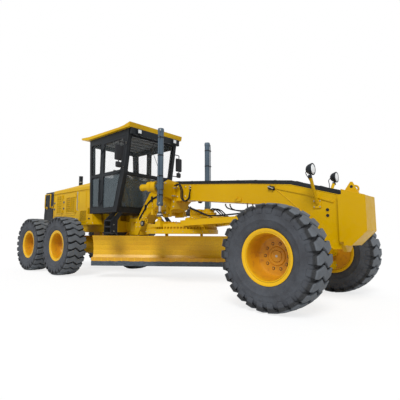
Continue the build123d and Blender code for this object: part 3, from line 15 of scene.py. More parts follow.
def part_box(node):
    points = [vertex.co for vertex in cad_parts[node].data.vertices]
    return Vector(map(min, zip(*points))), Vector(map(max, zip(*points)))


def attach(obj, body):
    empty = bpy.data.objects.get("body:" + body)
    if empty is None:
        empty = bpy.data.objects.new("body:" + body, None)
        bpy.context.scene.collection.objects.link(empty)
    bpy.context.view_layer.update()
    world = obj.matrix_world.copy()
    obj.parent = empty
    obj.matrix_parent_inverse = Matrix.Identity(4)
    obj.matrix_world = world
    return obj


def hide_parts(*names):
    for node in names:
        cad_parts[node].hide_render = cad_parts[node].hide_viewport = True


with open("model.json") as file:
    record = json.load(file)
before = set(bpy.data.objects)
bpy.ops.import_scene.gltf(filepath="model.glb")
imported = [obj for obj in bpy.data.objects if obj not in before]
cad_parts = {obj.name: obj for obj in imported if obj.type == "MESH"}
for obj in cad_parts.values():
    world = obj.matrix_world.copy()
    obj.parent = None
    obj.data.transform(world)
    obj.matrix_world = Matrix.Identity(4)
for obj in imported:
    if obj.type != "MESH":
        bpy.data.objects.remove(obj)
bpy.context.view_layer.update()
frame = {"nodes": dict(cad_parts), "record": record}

NODES = frame["nodes"]

# %% [markdown]
# ## Camera
# A road machine is usually shown from low down near one front wheel. The camera stands 0.94 m
# above the ground, turned 43 degrees from square and tipped up a little. The small shift keeps
# the machine in the middle of the frame without changing the perspective.

# %% Camera
CAMERA_AT = (5.721, -5.028, 0.94)
CAMERA_TURN = 43.41
CAMERA_TIP = 7.14
CAMERA_ROLL = 0.3
FOCAL_MM = 30.68
SENSOR_MM = 36.0
SHIFT_X, SHIFT_Y = 0.0404, -0.0197

camera_data = bpy.data.cameras.new("studio_camera")
camera_data.lens = FOCAL_MM
camera_data.sensor_width = SENSOR_MM
camera_data.shift_x = SHIFT_X
camera_data.shift_y = SHIFT_Y
camera = bpy.data.objects.new("studio_camera", camera_data)
turn = Matrix.Rotation(math.radians(CAMERA_TURN), 4, "Z")
tip = Matrix.Rotation(math.radians(90 + CAMERA_TIP), 4, "X")
roll = Matrix.Rotation(math.radians(CAMERA_ROLL), 4, "Z")
camera.matrix_world = Matrix.Translation(CAMERA_AT) @ turn @ tip @ roll
bpy.context.scene.collection.objects.link(camera)
bpy.context.scene.camera = camera
bpy.context.scene.view_settings.view_transform = "Standard"
print("camera", [round(v, 3) for v in CAMERA_AT], "lens", FOCAL_MM)

# %% [markdown]
# ## A socket that does sums
# Shader maths is easier to read as `1 - mask` than as a row of Math nodes. `Wire` wraps one
# output socket, and each operator on it adds one Math node and gives back a new `Wire`. Node
# groups could do the same, but they hide the formula from the reader.

# %% Wire: maths on sockets
class Wire:
    """An output socket that can be added, multiplied and compared like a number."""

    def __init__(self, finish, socket):
        self.finish = finish
        self.socket = socket

    def maths(self, operation, first, second, clamp=False):
        settings = {"operation": operation, "use_clamp": clamp}
        return self.finish.node("ShaderNodeMath", settings, {0: first, 1: second})

    def __add__(self, other):
        return self.maths("ADD", self, other)

    __radd__ = __add__

    def __sub__(self, other):
        return self.maths("SUBTRACT", self, other)

    def __rsub__(self, other):
        return self.maths("SUBTRACT", other, self)

    def __mul__(self, other):
        return self.maths("MULTIPLY", self, other)

    __rmul__ = __mul__

    def above(self, edge, soft=0.05):
        """0 below the edge and 1 above it, with a soft step between."""
        ends = {"From Min": edge - soft, "From Max": edge + soft}
        settings = {"interpolation_type": "SMOOTHSTEP"}
        return self.finish.node("ShaderNodeMapRange", settings, {"Value": self, **ends})


# %% [markdown]
# ## A finish
# One material is one Principled shader. What is the same all over the surface is a plain value on
# the shader's own socket. What changes over the surface is wired to it. Every pattern here is
# taken in the object's own metres, so that it keeps its scale and moves with the piece.

# %% Finish: one material
def from_srgb(red, green, blue):
    """A colour written as 0 to 255 on a screen, as the linear values that a shader takes."""
    shares = [v / 255 for v in (red, green, blue)]
    linear = [((v + 0.055) / 1.055) ** 2.4 if v > 10 / 255 else v / 12.92 for v in shares]
    return (*linear, 1.0)


class Finish:
    """A material with one Principled shader, and short calls for the nodes that vary it."""

    def __init__(self, name, **values):
        self.material = bpy.data.materials.new(name)
        self.material.use_nodes = True
        self.tree = self.material.node_tree
        self.tree.nodes.clear()
        self.output = self.tree.nodes.new("ShaderNodeOutputMaterial")
        self.shader = self.tree.nodes.new("ShaderNodeBsdfPrincipled")
        self.tree.links.new(self.shader.outputs[0], self.output.inputs["Surface"])
        for socket, value in values.items():
            self.shader.inputs[socket.replace("_", " ")].default_value = value

    def node(self, kind, settings, sockets, output=0):
        """Any node: its settings first, then the values or links of its sockets."""
        node = self.tree.nodes.new(kind)
        for name, value in settings.items():
            setattr(node, name, value)
        for name, value in sockets.items():
            if isinstance(value, Wire):
                self.tree.links.new(value.socket, node.inputs[name])
            else:
                node.inputs[name].default_value = value
        return Wire(self, node.outputs[output])

    def place(self, stretch=(1, 1, 1)):
        """Where on the object a point is, in metres, stretched along each axis."""
        own = self.node("ShaderNodeTexCoord", {}, {}, "Object")
        return self.node("ShaderNodeVectorMath", {"operation": "MULTIPLY"}, {0: own, 1: stretch})

    def reach(self):
        """How far a point is from the object's own Y axis, for a wheel that turns about it."""
        return self.node("ShaderNodeVectorMath", {"operation": "LENGTH"}, {0: self.place((1, 0, 1))}, 1)

    def height(self):
        """How high a point stands on the object, in metres."""
        return self.node(
            "ShaderNodeVectorMath", {"operation": "DOT_PRODUCT"}, {0: self.place(), 1: (0, 0, 1)}, 1
        )

    def noise(self, scale, detail=3.0, rough=0.5, stretch=(1, 1, 1)):
        sockets = {"Vector": self.place(stretch), "Scale": scale, "Detail": detail, "Roughness": rough}
        return self.node("ShaderNodeTexNoise", {}, sockets)

    def mix(self, share, first, second, blend="MIX"):
        """Two colours mixed."""
        settings = {"data_type": "RGBA", "blend_type": blend}
        return self.node("ShaderNodeMix", settings, {0: share, 6: first, 7: second}, 2)

    def bump(self, height, distance, strength=1.0):
        sockets = {"Height": height, "Distance": distance, "Strength": strength}
        return self.node("ShaderNodeBump", {}, sockets)

    def wire(self, **wires):
        for socket, value in wires.items():
            self.tree.links.new(value.socket, self.shader.inputs[socket.replace("_", " ")])
        return self


print("finish kit ready")

# %% [markdown]
# ## Machine paint
# The body is sprayed in one warm yellow enamel. Sprayed enamel has a faint orange-peel skin, long
# soft differences in tone from one plate to the next, and a thin film of dust that dulls its
# gloss in patches. One noise a few metres wide shifts the tone, one a few centimetres wide is the
# dust, and a very fine one is the skin. A flat colour would look like plastic.

# %% Yellow paint
YELLOW = from_srgb(212, 170, 0)
YELLOW_DEEP = from_srgb(200, 154, 0)
DUST = from_srgb(196, 160, 70)


def paint(name, light, dark, dust, dust_share, roughness, peel=0.0004):
    """Sprayed enamel: tone, dust film and orange peel."""
    finish = Finish(name, Metallic=0.0, Coat_Roughness=0.25, Specular_IOR_Level=0.15)
    tone = finish.noise(0.9, 2.0)
    film = finish.noise(14.0, 6.0, 0.62).above(0.56, 0.16)
    colour = finish.mix(tone.above(0.5, 0.3), dark, light)
    colour = finish.mix(film * dust_share, colour, dust)
    skin = finish.noise(420.0, 2.0)
    finish.wire(
        Base_Color=colour,
        Roughness=roughness + film * 0.18,
        Coat_Weight=0.1 - film * 0.07,
        Normal=finish.bump(skin, peel, 0.35),
    )
    return finish.material


yellow_paint = paint("yellow_enamel", YELLOW, YELLOW_DEEP, DUST, 0.1, 0.34)
print("paint", [round(v, 3) for v in YELLOW[:3]])

# %% [markdown]
# ## Rim and blade paint
# Wheels and blade are painted apart from the body. In the deep dish of a rim the yellow is painted
# darker and more ochre as painted shade, so the tone follows the distance from the wheel's axis. On
# the blade's front face, broad brown streaks laid out by a noise are painted shade, with fine dark
# grit over them. Both keep the same enamel under the painted shade, which a second flat colour
# wouldn't show.

# %% Rim and blade paint
DISH_R = 0.288
SEAM_R = (0.303, 0.309)


def rim_coat():
    finish = Finish("rim_enamel", Specular_IOR_Level=0.3, Coat_Roughness=0.25)
    film = finish.noise(11.0, 6.0, 0.62)
    # Painted shade: the deep dish of the rim is painted darker and more ochre, and darker still in patches
    # where the noise is high.
    dish_shade = 1.0 - finish.reach().above(DISH_R, 0.012)
    colour = finish.mix(dish_shade * (0.66 + film * 0.25), from_srgb(222, 172, 6), from_srgb(190, 124, 24))
    colour = finish.mix(film.above(0.6, 0.1) * 0.5 * dish_shade, colour, from_srgb(140, 84, 34))
    seam = finish.reach().above(SEAM_R[0], 0.001) * (1.0 - finish.reach().above(SEAM_R[1], 0.001))
    colour = finish.mix(seam * 0.55, colour, from_srgb(96, 66, 20))
    finish.wire(
        Base_Color=colour, Roughness=0.34 + film * 0.2, Coat_Weight=0.16 - film * 0.12,
        Normal=finish.bump(film, 0.0006, 0.4),
    )
    return finish.material


def blade_coat():
    finish = Finish("blade_enamel", Specular_IOR_Level=0.3, Coat_Roughness=0.25)
    # Painted shade: the broad darker brown streaks from this noise stand in for the shade on the blade's
    # face; the same noise also varies its gloss.
    shade_and_gloss_streaks = finish.noise(1.3, 2.5, 0.5, (1.0, 1.0, 2.4))
    grit = finish.noise(60.0, 4.0, 0.6)
    colour = finish.mix(shade_and_gloss_streaks.above(0.5, 0.26) * 0.62, from_srgb(224, 178, 10), from_srgb(198, 142, 24))
    colour = finish.mix(grit.above(0.58, 0.1) * 0.35, colour, from_srgb(140, 92, 34))
    finish.wire(
        Base_Color=colour, Roughness=0.3 + shade_and_gloss_streaks * 0.25, Coat_Weight=0.22 - shade_and_gloss_streaks * 0.16,
        Normal=finish.bump(grit, 0.0006, 0.4),
    )
    return finish.material


def edge_coat(start):
    """Yellow where the edge is bolted to the blade, worn dark steel below a ragged line."""
    finish = Finish("cutting_edge_coat", Coat_Roughness=0.3)
    marks = finish.noise(60.0, 5.0, 0.6, (0.2, 0.2, 1.0))
    worn = finish.noise(9.0, 5.0, 0.6)
    bare = 1.0 - (finish.height() + (worn - 0.5) * 0.05).above(start, 0.004)
    steel = finish.mix(marks.above(0.5, 0.25), from_srgb(58, 64, 70), from_srgb(92, 100, 108))
    finish.wire(
        Base_Color=finish.mix(bare, from_srgb(200, 146, 16), steel),
        Metallic=bare * 0.7,
        Roughness=0.4 + marks * 0.2,
        Normal=finish.bump(marks, 0.0006, 0.5),
    )
    return finish.material


rim_paint = rim_coat()
blade_paint = blade_coat()
print("worn paints ready")

# %% [markdown]
# ## Dark paints
# The cab frame and the hose cover are satin black, the chassis a dark grey, and the barrels of
# the cylinders a blue-grey that shows against the yellow. They are the same sprayed enamel with
# other colours, so the same function makes them.

# %% Dark paints
black_paint = paint(
    "satin_black", from_srgb(38, 42, 46), from_srgb(27, 30, 34), from_srgb(86, 90, 92), 0.12, 0.42
)
chassis_paint = paint(
    "chassis_grey", from_srgb(70, 72, 75), from_srgb(56, 59, 62), from_srgb(120, 112, 98), 0.22, 0.5
)
barrel_paint = paint(
    "barrel_grey", from_srgb(88, 104, 118), from_srgb(68, 82, 94), from_srgb(120, 128, 132), 0.1, 0.3
)
trim_plastic = paint(
    "cab_trim", from_srgb(50, 51, 54), from_srgb(38, 39, 42), from_srgb(92, 90, 86), 0.1, 0.62, 0.0008
)
rubber_hose = paint(
    "hose_rubber", from_srgb(30, 31, 33), from_srgb(22, 23, 25), from_srgb(70, 68, 64), 0.14, 0.55, 0.0006
)
roof_lining = paint(
    "roof_lining", from_srgb(120, 122, 124), from_srgb(104, 106, 108), from_srgb(130, 128, 122), 0.1, 0.8,
    0.001,
)
print("dark paints ready")

# %% [markdown]
# ## Bare metal
# Four metals show: hard chrome on the cylinder rods, worn steel, rough dark castings and bright
# zinc on the bolts. Chrome is nearly a mirror with faint marks from its seal. Worn steel is
# ground by gravel along its length, so its noise is stretched lengthways. Castings have a sandy
# skin. One function makes all four, because only the tone, the gloss and the grain differ.

# %% Chrome, edge steel, cast iron, bright bolts
def metal(name, light, dark, scale, stretch, roughness, swing, grain, metallic=1.0):
    """Bare metal whose tone, gloss and fine relief follow one stretched noise."""
    finish = Finish(name, Metallic=metallic)
    marks = finish.noise(scale, 5.0, 0.6, stretch)
    finish.wire(
        Base_Color=finish.mix(marks.above(0.5, 0.25), dark, light),
        Roughness=roughness + (marks - 0.5) * swing,
        Normal=finish.bump(marks, grain, 0.5),
    )
    return finish.material


chrome = metal(
    "hard_chrome", from_srgb(226, 228, 230), from_srgb(198, 202, 206), 30.0, (1, 1, 0.15), 0.14, 0.12,
    0.0001,
)
edge_steel = metal(
    "edge_steel", from_srgb(150, 155, 160), from_srgb(104, 108, 114), 60.0, (0.2, 0.2, 1), 0.42, 0.3,
    0.0006, 0.85,
)
cast_iron = metal(
    "cast_iron", from_srgb(78, 76, 74), from_srgb(46, 46, 47), 160.0, (1, 1, 1), 0.62, 0.25, 0.001, 0.45
)
bright_bolt = metal(
    "zinc_bolt", from_srgb(196, 192, 180), from_srgb(150, 146, 136), 90.0, (1, 1, 1), 0.36, 0.25, 0.0004,
    0.8,
)
print("metals ready")

# %% [markdown]
# ## Seat fabric
# The seat is covered in a hard-wearing black cloth. Two sets of fine bands crossed at right
# angles give the weave, both to the colour and to the bump, and a broad noise is the wear where
# the operator sits. A fabric has no gloss, so its roughness is high.

# %% Fabric
def fabric():
    finish = Finish("seat_fabric", Specular_IOR_Level=0.2, Sheen_Weight=0.25)
    bands = {"wave_type": "BANDS", "bands_direction": "X"}
    warp = finish.node("ShaderNodeTexWave", bands, {"Vector": finish.place(), "Scale": 130.0}, 1)
    weft = finish.node(
        "ShaderNodeTexWave", {**bands, "bands_direction": "Y"}, {"Vector": finish.place(), "Scale": 130.0},
        1,
    )
    weave = warp * weft
    wear = finish.noise(9.0, 4.0)
    colour = finish.mix(weave * 0.5 + wear * 0.3, from_srgb(34, 35, 38), from_srgb(74, 76, 80))
    finish.wire(Base_Color=colour, Roughness=0.82 + wear * 0.12, Normal=finish.bump(weave, 0.0012, 0.6))
    return finish.material


seat_fabric = fabric()
print("fabric ready")

# %% [markdown]
# ## Tyre rubber
# New rubber is a dull blue-black. The crests of the bars are painted paler, a painted highlight, and
# the grooves between them are painted darker, a painted shade, so both follow the distance from the
# wheel's axis. A fine noise adds grey specks and is also the bump, so that the specks look a
# little raised.

# %% Rubber
CREST_R, GROOVE_R = 0.648, 0.598


def rubber():
    finish = Finish("tyre_rubber", Specular_IOR_Level=0.35)
    broad = finish.noise(5.0, 4.0, 0.6)
    fine = finish.noise(170.0, 4.0, 0.65)
    reach = finish.reach()
    # Painted highlight on the crests of the bars, and painted shade in the grooves between them.
    crest_highlight = reach.above(CREST_R, 0.008)
    groove_shade = reach.above(GROOVE_R, 0.014) * (1.0 - crest_highlight)
    colour = finish.mix(broad.above(0.5, 0.22), from_srgb(52, 54, 60), from_srgb(70, 74, 81))
    colour = finish.mix(groove_shade * 0.85, colour, from_srgb(24, 25, 27))
    colour = finish.mix(crest_highlight * (0.15 + broad * 0.75), colour, from_srgb(112, 118, 124))
    colour = finish.mix(fine.above(0.55, 0.12) * 0.25, colour, from_srgb(104, 104, 102))
    finish.wire(Base_Color=colour, Roughness=0.66 + broad * 0.2, Normal=finish.bump(fine, 0.0012, 0.6))
    return finish.material


tyre_rubber = rubber()
print("rubber ready")

# %% [markdown]
# ## Glass and lamps
# The cab's panes are flat tinted safety glass. Real refraction isn't needed in a flat pane: a
# smooth surface that lets most light straight through looks the same and renders much faster. A
# broad noise adds a thin uneven film that keeps it from vanishing. The lenses of the lamps are
# moulded with flutes, which a band pattern gives to both colour and bump.

# %% Glass and lenses
def pane(name, tint, opacity, haze):
    finish = Finish(name, Base_Color=tint, Roughness=0.04, Specular_IOR_Level=0.6)
    film = finish.noise(3.0, 4.0, 0.6)
    finish.wire(Alpha=opacity + film.above(0.5, 0.3) * haze)
    return finish.material


def lens(name, roughness, coat, scale, share, light, dark):
    """A moulded lens with flutes across it."""
    finish = Finish(name, Roughness=roughness, Coat_Weight=coat)
    flutes = finish.node(
        "ShaderNodeTexWave", {"wave_type": "BANDS"}, {"Vector": finish.place(), "Scale": scale}
    )
    finish.wire(Base_Color=finish.mix(flutes * share, light, dark), Normal=finish.bump(flutes, 0.001))
    return finish.material


clear_glass = pane("cab_glass", from_srgb(180, 190, 192), 0.02, 0.03)
# Painted shade: the lower panes are darker and denser to stand for the shaded cab behind them.
dark_glass = pane("lower_glass", from_srgb(78, 90, 96), 0.52, 0.2)
lamp_lens = lens("lamp_lens", 0.12, 0.6, 40.0, 0.4, from_srgb(238, 240, 240), from_srgb(206, 210, 212))
red_lens = lens("red_lens", 0.16, 0.5, 30.0, 0.5, from_srgb(168, 22, 18), from_srgb(120, 12, 10))
mirror_face = metal(
    "mirror_face", from_srgb(214, 218, 220), from_srgb(200, 204, 208), 8.0, (1, 1, 1), 0.06, 0.04, 0.0
)
print("glass ready")

# %% [markdown]
# ## Finishes for the solids
# Every imported solid names its material slot. A table from slot to finish dresses them all at
# once. The blade and its cutting edge then get their own paints: painted shade and grit on the
# blade, worn steel along the edge's foot.

# %% Dress the solids
FINISH_OF = {
    "yellow_paint": yellow_paint,
    "black_paint": black_paint,
    "frame_grey": chassis_paint,
    "cylinder_grey": barrel_paint,
    "chrome_rod": chrome,
    "edge_steel": edge_steel,
    "cast_grey": cast_iron,
    "tyre_rubber": tyre_rubber,
    "clear_glass": clear_glass,
    "seat_plastic": trim_plastic,
    "lamp_body": lamp_lens,
}
SLOT_OF = {row["node"]: row["material_slot"] for row in frame["record"]["subparts"]}
for name, node in NODES.items():
    node.data.materials.clear()
    node.data.materials.append(FINISH_OF[SLOT_OF[name]])
    node.data.shade_smooth()
    node.data.set_sharp_from_angle(angle=math.radians(28))
BARE_BELOW_Z = 0.365
edge_paint = edge_coat(BARE_BELOW_Z - NODES["cutting_edge"].matrix_world.translation.z)
for name, finish in (("moldboard", blade_paint), ("cutting_edge", edge_paint)):
    NODES[name].data.materials[0] = finish
print("dressed", len(SLOT_OF), "solids")

# %% [markdown]
# ## Studio
# The floor and the sky are white to the camera, and a soft even sky lights the machine. One large
# sun with a wide angle comes from high on the right-hand side, so plates that face it read at
# their own colour and the undersides go deeper. Glossy surfaces see the sky half way to white, so
# that chrome and glass don't go dark. The floor stays a real surface that takes the shadow, mixed
# with plain white for camera rays so that it joins the background.

# %% Floor, sky and sun
SKY_STRENGTH = 0.46
SUN_STRENGTH = 2.45
SUN_FROM = Vector((0.55, -1.0, 1.15))
SUN_ANGLE = 24
FLOOR_GLOW, FLOOR_SHARE = 1.07, 0.72
GLOSSY_SHARE = 0.5
FLOOR_HALF = 60

floor_mesh = bpy.data.meshes.new("floor")
floor_mesh.from_pydata([
    (x * FLOOR_HALF, y * FLOOR_HALF, 0) for x, y in ((-1, -1), (1, -1), (1, 1), (-1, 1))
], [], [(0, 1, 2, 3)])
floor = bpy.data.objects.new("floor", floor_mesh)
bpy.context.scene.collection.objects.link(floor)

floor_finish = Finish("floor_white", Base_Color=(0.86, 0.86, 0.86, 1), Roughness=0.9)
rays = floor_finish.tree.nodes.new("ShaderNodeLightPath")
glow = floor_finish.node("ShaderNodeEmission", {}, {"Color": (1, 1, 1, 1), "Strength": FLOOR_GLOW})
seen = Wire(floor_finish, rays.outputs["Is Camera Ray"])
share = floor_finish.node("ShaderNodeMixShader", {}, {
    0: seen * FLOOR_SHARE, 1: Wire(floor_finish, floor_finish.shader.outputs[0]), 2: glow
})
floor_finish.tree.links.new(share.socket, floor_finish.output.inputs["Surface"])
floor.data.materials.append(floor_finish.material)

world = bpy.data.worlds.new("studio_sky")
bpy.context.scene.world = world
world.use_nodes = True
sky_nodes = world.node_tree.nodes
sky_links = world.node_tree.links
sky_nodes.clear()
sky_out = sky_nodes.new("ShaderNodeOutputWorld")
sky_light = sky_nodes.new("ShaderNodeBackground")
sky_light.inputs["Color"].default_value = (0.97, 0.985, 1.0, 1)
sky_light.inputs["Strength"].default_value = SKY_STRENGTH
sky_white = sky_nodes.new("ShaderNodeBackground")
sky_white.inputs["Color"].default_value = (1, 1, 1, 1)
sky_mix = sky_nodes.new("ShaderNodeMixShader")
sky_rays = sky_nodes.new("ShaderNodeLightPath")
either = sky_nodes.new("ShaderNodeMath")
either.operation = "MAXIMUM"
sky_links.new(sky_rays.outputs["Is Camera Ray"], either.inputs[0])
sky_links.new(sky_rays.outputs["Is Transmission Ray"], either.inputs[1])
mirrored = sky_nodes.new("ShaderNodeMath")
mirrored.operation = "MULTIPLY_ADD"
sky_links.new(sky_rays.outputs["Is Glossy Ray"], mirrored.inputs[0])
mirrored.inputs[1].default_value = GLOSSY_SHARE
sky_links.new(either.outputs[0], mirrored.inputs[2])
sky_links.new(mirrored.outputs[0], sky_mix.inputs[0])
sky_links.new(sky_light.outputs[0], sky_mix.inputs[1])
sky_links.new(sky_white.outputs[0], sky_mix.inputs[2])
sky_links.new(sky_mix.outputs[0], sky_out.inputs["Surface"])

sun_data = bpy.data.lights.new("soft_sun", "SUN")
sun_data.energy = SUN_STRENGTH
sun_data.angle = math.radians(SUN_ANGLE)
sun = bpy.data.objects.new("soft_sun", sun_data)
sun.matrix_world = SUN_FROM.to_track_quat("Z", "Y").to_matrix().to_4x4()
bpy.context.scene.collection.objects.link(sun)
print("studio ready")

# %% [markdown]
# ## Meshes
# The detailed pieces are made with bmesh from a few plain forms: plates with an outline, turned
# rings, tubes along a line, and hexagon bolts. `Shape` gathers such forms into one piece with
# several finishes. Each form could be its own object, but a piece with one name and one body is
# easier to follow.

# %% Shape: forms gathered into one piece
def axes_of(direction):
    """Two directions square to the given one."""
    along = Vector(direction).normalized()
    helper = Vector((0, 0, 1)) if abs(along.z) < 0.9 else Vector((1, 0, 0))
    side = along.cross(helper).normalized()
    return along, side, side.cross(along).normalized()


def circle_points(centre, axis, radius, count, first=0.0):
    """Points spaced round a circle about x, y or z; first is a share of one step."""
    one, two = [number for number in range(3) if not axis[number]]
    points = []
    for number in range(count):
        a = 2 * math.pi * (number + first) / count
        point = list(centre)
        point[one] += radius * math.cos(a)
        point[two] += radius * math.sin(a)
        points.append(tuple(point))
    return points


def collar_line(inner, outer, height, ease=0.002):
    """The section of a collar: from the inner radius out to the outer one, its corners eased."""
    return [(inner, 0), (outer, ease), (outer, height - ease), (inner, height)]


UP, AHEAD = (0, 0, 1), (1, 0, 0)


class Shape:
    """Forms of one piece, each with the number of its finish."""

    def __init__(self):
        self.mesh = bmesh.new()

    def skin(self, rings, finish=0, closed=True, caps=True):
        """Faces between rows of points, each row as long as the next."""
        rows = [[self.mesh.verts.new(point) for point in ring] for ring in rings]
        count = len(rows[0])
        last = count if closed else count - 1
        for lower, upper in zip(rows, rows[1:]):
            for number in range(last):
                after = (number + 1) % count
                face = self.mesh.faces.new((lower[number], lower[after], upper[after], upper[number]))
                face.material_index = finish
        if caps and closed:
            for row in (rows[0], rows[-1]):
                self.mesh.faces.new(row).material_index = finish
        return self

    def plate(self, outline, low, high, lay, finish=0):
        """A flat outline pushed from low to high; lay turns (a, b, level) into a point."""
        return self.skin([[lay(a, b, level) for a, b in outline] for level in (low, high)], finish)

    def box(self, low, high, finish=0):
        (x0, y0, z0), (x1, y1, z1) = low, high
        outline = [(x0, y0), (x1, y0), (x1, y1), (x0, y1)]
        return self.plate(outline, z0, z1, lambda a, b, level: (a, b, level), finish)

    def turned(self, centre, axis, profile, sides=24, finish=0, caps=True):
        """A turned form; profile points are radius and distance along the axis."""
        along, side, up = axes_of(axis)
        rings = []
        for radius, offset in profile:
            middle = Vector(centre) + along * offset
            angles = [2 * math.pi * number / sides for number in range(sides)]
            rings.append([middle + (side * math.cos(a) + up * math.sin(a)) * radius for a in angles])
        return self.skin(rings, finish, caps=caps)

    def ring(self, centre, axis, profile, sides=24, finish=0):
        """A turned form left open at both ends."""
        return self.turned(centre, axis, profile, sides, finish, caps=False)

    def bar(self, start, end, radius, sides=12, finish=0):
        """A straight round bar."""
        length = (Vector(end) - Vector(start)).length
        return self.turned(start, Vector(end) - Vector(start), [(radius, 0), (radius, length)], sides, finish)

    def bolt(self, at, axis, size, finish=0):
        """A washer and a hexagon head with its corners taken off."""
        self.turned(at, axis, [(size * 1.25, 0), (size * 1.25, size * 0.22)], 14, finish)
        head = [(size, size * 0.22), (size, size * 0.8), (size * 0.82, size * 0.95)]
        return self.turned(at, axis, head, 6, finish)

    def bolt_circle(self, centre, axis, radius, count, size, first=0.0, finish=1):
        """Bolts spaced round a circle about one of the three axes."""
        for point in circle_points(centre, axis, radius, count, first):
            self.bolt(point, axis, size, finish)

    def hose(self, points, radius, sides=10, finish=0, steps=8):
        """A tube along a smooth line through the points."""
        line = smooth_line(points, steps)
        rings = []
        side = None
        for number, point in enumerate(line):
            ahead = line[min(number + 1, len(line) - 1)] - line[max(number - 1, 0)]
            along = ahead.normalized()
            side = axes_of(along)[1] if side is None else (side - along * side.dot(along)).normalized()
            up = side.cross(along)
            angles = [2 * math.pi * turn / sides for turn in range(sides)]
            rings.append([point + (side * math.cos(a) + up * math.sin(a)) * radius for a in angles])
        return self.skin(rings, finish)

    def done(self, name, body, finishes, slot, smooth=32, bevel=0.0):
        """Make the object and ride it on its body; the slot argument is not used."""
        bmesh.ops.recalc_face_normals(self.mesh, faces=self.mesh.faces)
        data = bpy.data.meshes.new(name)
        self.mesh.to_mesh(data)
        self.mesh.free()
        for finish in finishes:
            data.materials.append(finish)
        data.shade_smooth()
        data.set_sharp_from_angle(angle=math.radians(smooth))
        piece = bpy.data.objects.new(name, data)
        bpy.context.scene.collection.objects.link(piece)
        if bevel:
            edges = piece.modifiers.new("edges", "BEVEL")
            edges.width = bevel
            edges.segments = 2
            edges.limit_method = "ANGLE"
            edges.harden_normals = True
        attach(piece, body)
        return piece


def smooth_line(points, steps):
    """Points on a smooth line through the given ones."""
    spots = [Vector(point) for point in points]
    padded = [spots[0] * 2 - spots[1]] + spots + [spots[-1] * 2 - spots[-2]]
    line = []
    for before, start, end, after in zip(padded, padded[1:], padded[2:], padded[3:]):
        for step in range(steps):
            t = step / steps
            slope_in, slope_out = (end - before) / 2, (after - start) / 2
            line.append(
                start * (2 * t**3 - 3 * t**2 + 1)
                + slope_in * (t**3 - 2 * t**2 + t)
                + end * (3 * t**2 - 2 * t**3)
                + slope_out * (t**3 - t**2)
            )
    return line + [spots[-1]]


print("shape kit ready")

# %% [markdown]
# ## Tyres
# A grader's tyre has wide bars across its tread. Each bar runs in a zigzag from shoulder to
# shoulder, and its ends run down the sidewall until they fade out. The carcass is a turned ring,
# and one bar is a strip of stations that follow the section of the tyre. A displaced surface
# could give the same bars, but would need far more faces for walls this steep.

# %% Tyre
BARS = 26
BAR_HALF = 0.2225
TYRE_R = (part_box("tyre_front_right")[1][2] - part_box("tyre_front_right")[0][2]) / 2
RIM_LIP = 0.353

# half section from the bead to the middle of the tread: radius, offset
CARCASS = [
    (RIM_LIP - 0.012, 0.150),
    (RIM_LIP + 0.008, 0.186),
    (RIM_LIP + 0.030, 0.196),
    (0.400, 0.206),
    (0.452, 0.2150),
    (0.456, 0.2185),
    (0.461, 0.2185),
    (0.465, 0.2165),
    (0.500, 0.2195),
    (0.540, 0.2170),
    (0.575, 0.2100),
    (0.605, 0.1960),
    (0.622, 0.1760),
    (0.631, 0.1400),
    (0.635, 0.0),
]
# stations of a bar from its outer end to the middle: offset, outer radius, base radius
BAR_STATIONS = [
    (0.2190, 0.538, 0.536),
    (0.2222, 0.575, 0.556),
    (0.2225, 0.612, 0.580),
    (0.2205, 0.645, 0.604),
    (0.2080, 0.660, 0.612),
    (0.1500, 0.668, 0.622),
    (0.0900, 0.672, 0.628),
    (0.0, 0.6745, 0.632),
]
# the zigzag across the tread: offset as a share of the half width, shift as a share of the pitch
ZIGZAG = [(-1.0, -0.02), (-0.62, 0.04), (-0.28, 0.26), (0.22, -0.24), (0.62, 0.02), (1.0, 0.06)]


def zigzag(share):
    """How far round the tyre a bar is shifted at a place across it."""
    for (start, first), (end, second) in zip(ZIGZAG, ZIGZAG[1:]):
        if share <= end:
            return first + (second - first) * (share - start) / (end - start)
    return ZIGZAG[-1][1]


def tyre_shape():
    shape = Shape()
    section = CARCASS + [(radius, -offset) for radius, offset in reversed(CARCASS[:-1])]
    sides = BARS * 4
    shape.ring((0, 0, 0), (0, 1, 0), section, sides)
    pitch = 2 * math.pi / BARS
    stations = [(-offset, top, base) for offset, top, base in BAR_STATIONS]
    between = [(share * BAR_HALF, 0.6715 - 0.004 * abs(share), 0.628) for share in (-0.28, 0.22)]
    mirrored = [(-offset, top, base) for offset, top, base in stations]
    stations = sorted(set(stations + mirrored + between), key=lambda row: (row[0], row[1]))
    inner = [row for row in stations if row[0] < -0.2]
    outer = [row for row in stations if row[0] > 0.2]
    middle = [row for row in stations if abs(row[0]) <= 0.2]
    stations = sorted(inner, key=lambda row: row[1]) + middle + sorted(outer, key=lambda row: -row[1])
    for number in range(BARS):
        rings = []
        for offset, top, base in stations:
            share = offset / BAR_HALF
            shift = zigzag(share)
            shoulder = max(0.0, abs(share) - 0.86) / 0.14
            width = 0.36 - 0.1 * shoulder
            ring = []
            for edge, radius in (
                (-width - 0.03, base), (-width, top - 0.004), (-width + 0.03, top), (width - 0.03, top),
                (width, top - 0.004), (width + 0.03, base),
            ):
                angle = (number + 0.5 + shift + edge) * pitch
                ring.append((radius * math.sin(angle), offset, -radius * math.cos(angle)))
            rings.append(ring)
        shape.skin(rings)
    return shape


WHEELS = [f"{row}_{side}" for row in ("front", "mid", "rear") for side in ("right", "left")]


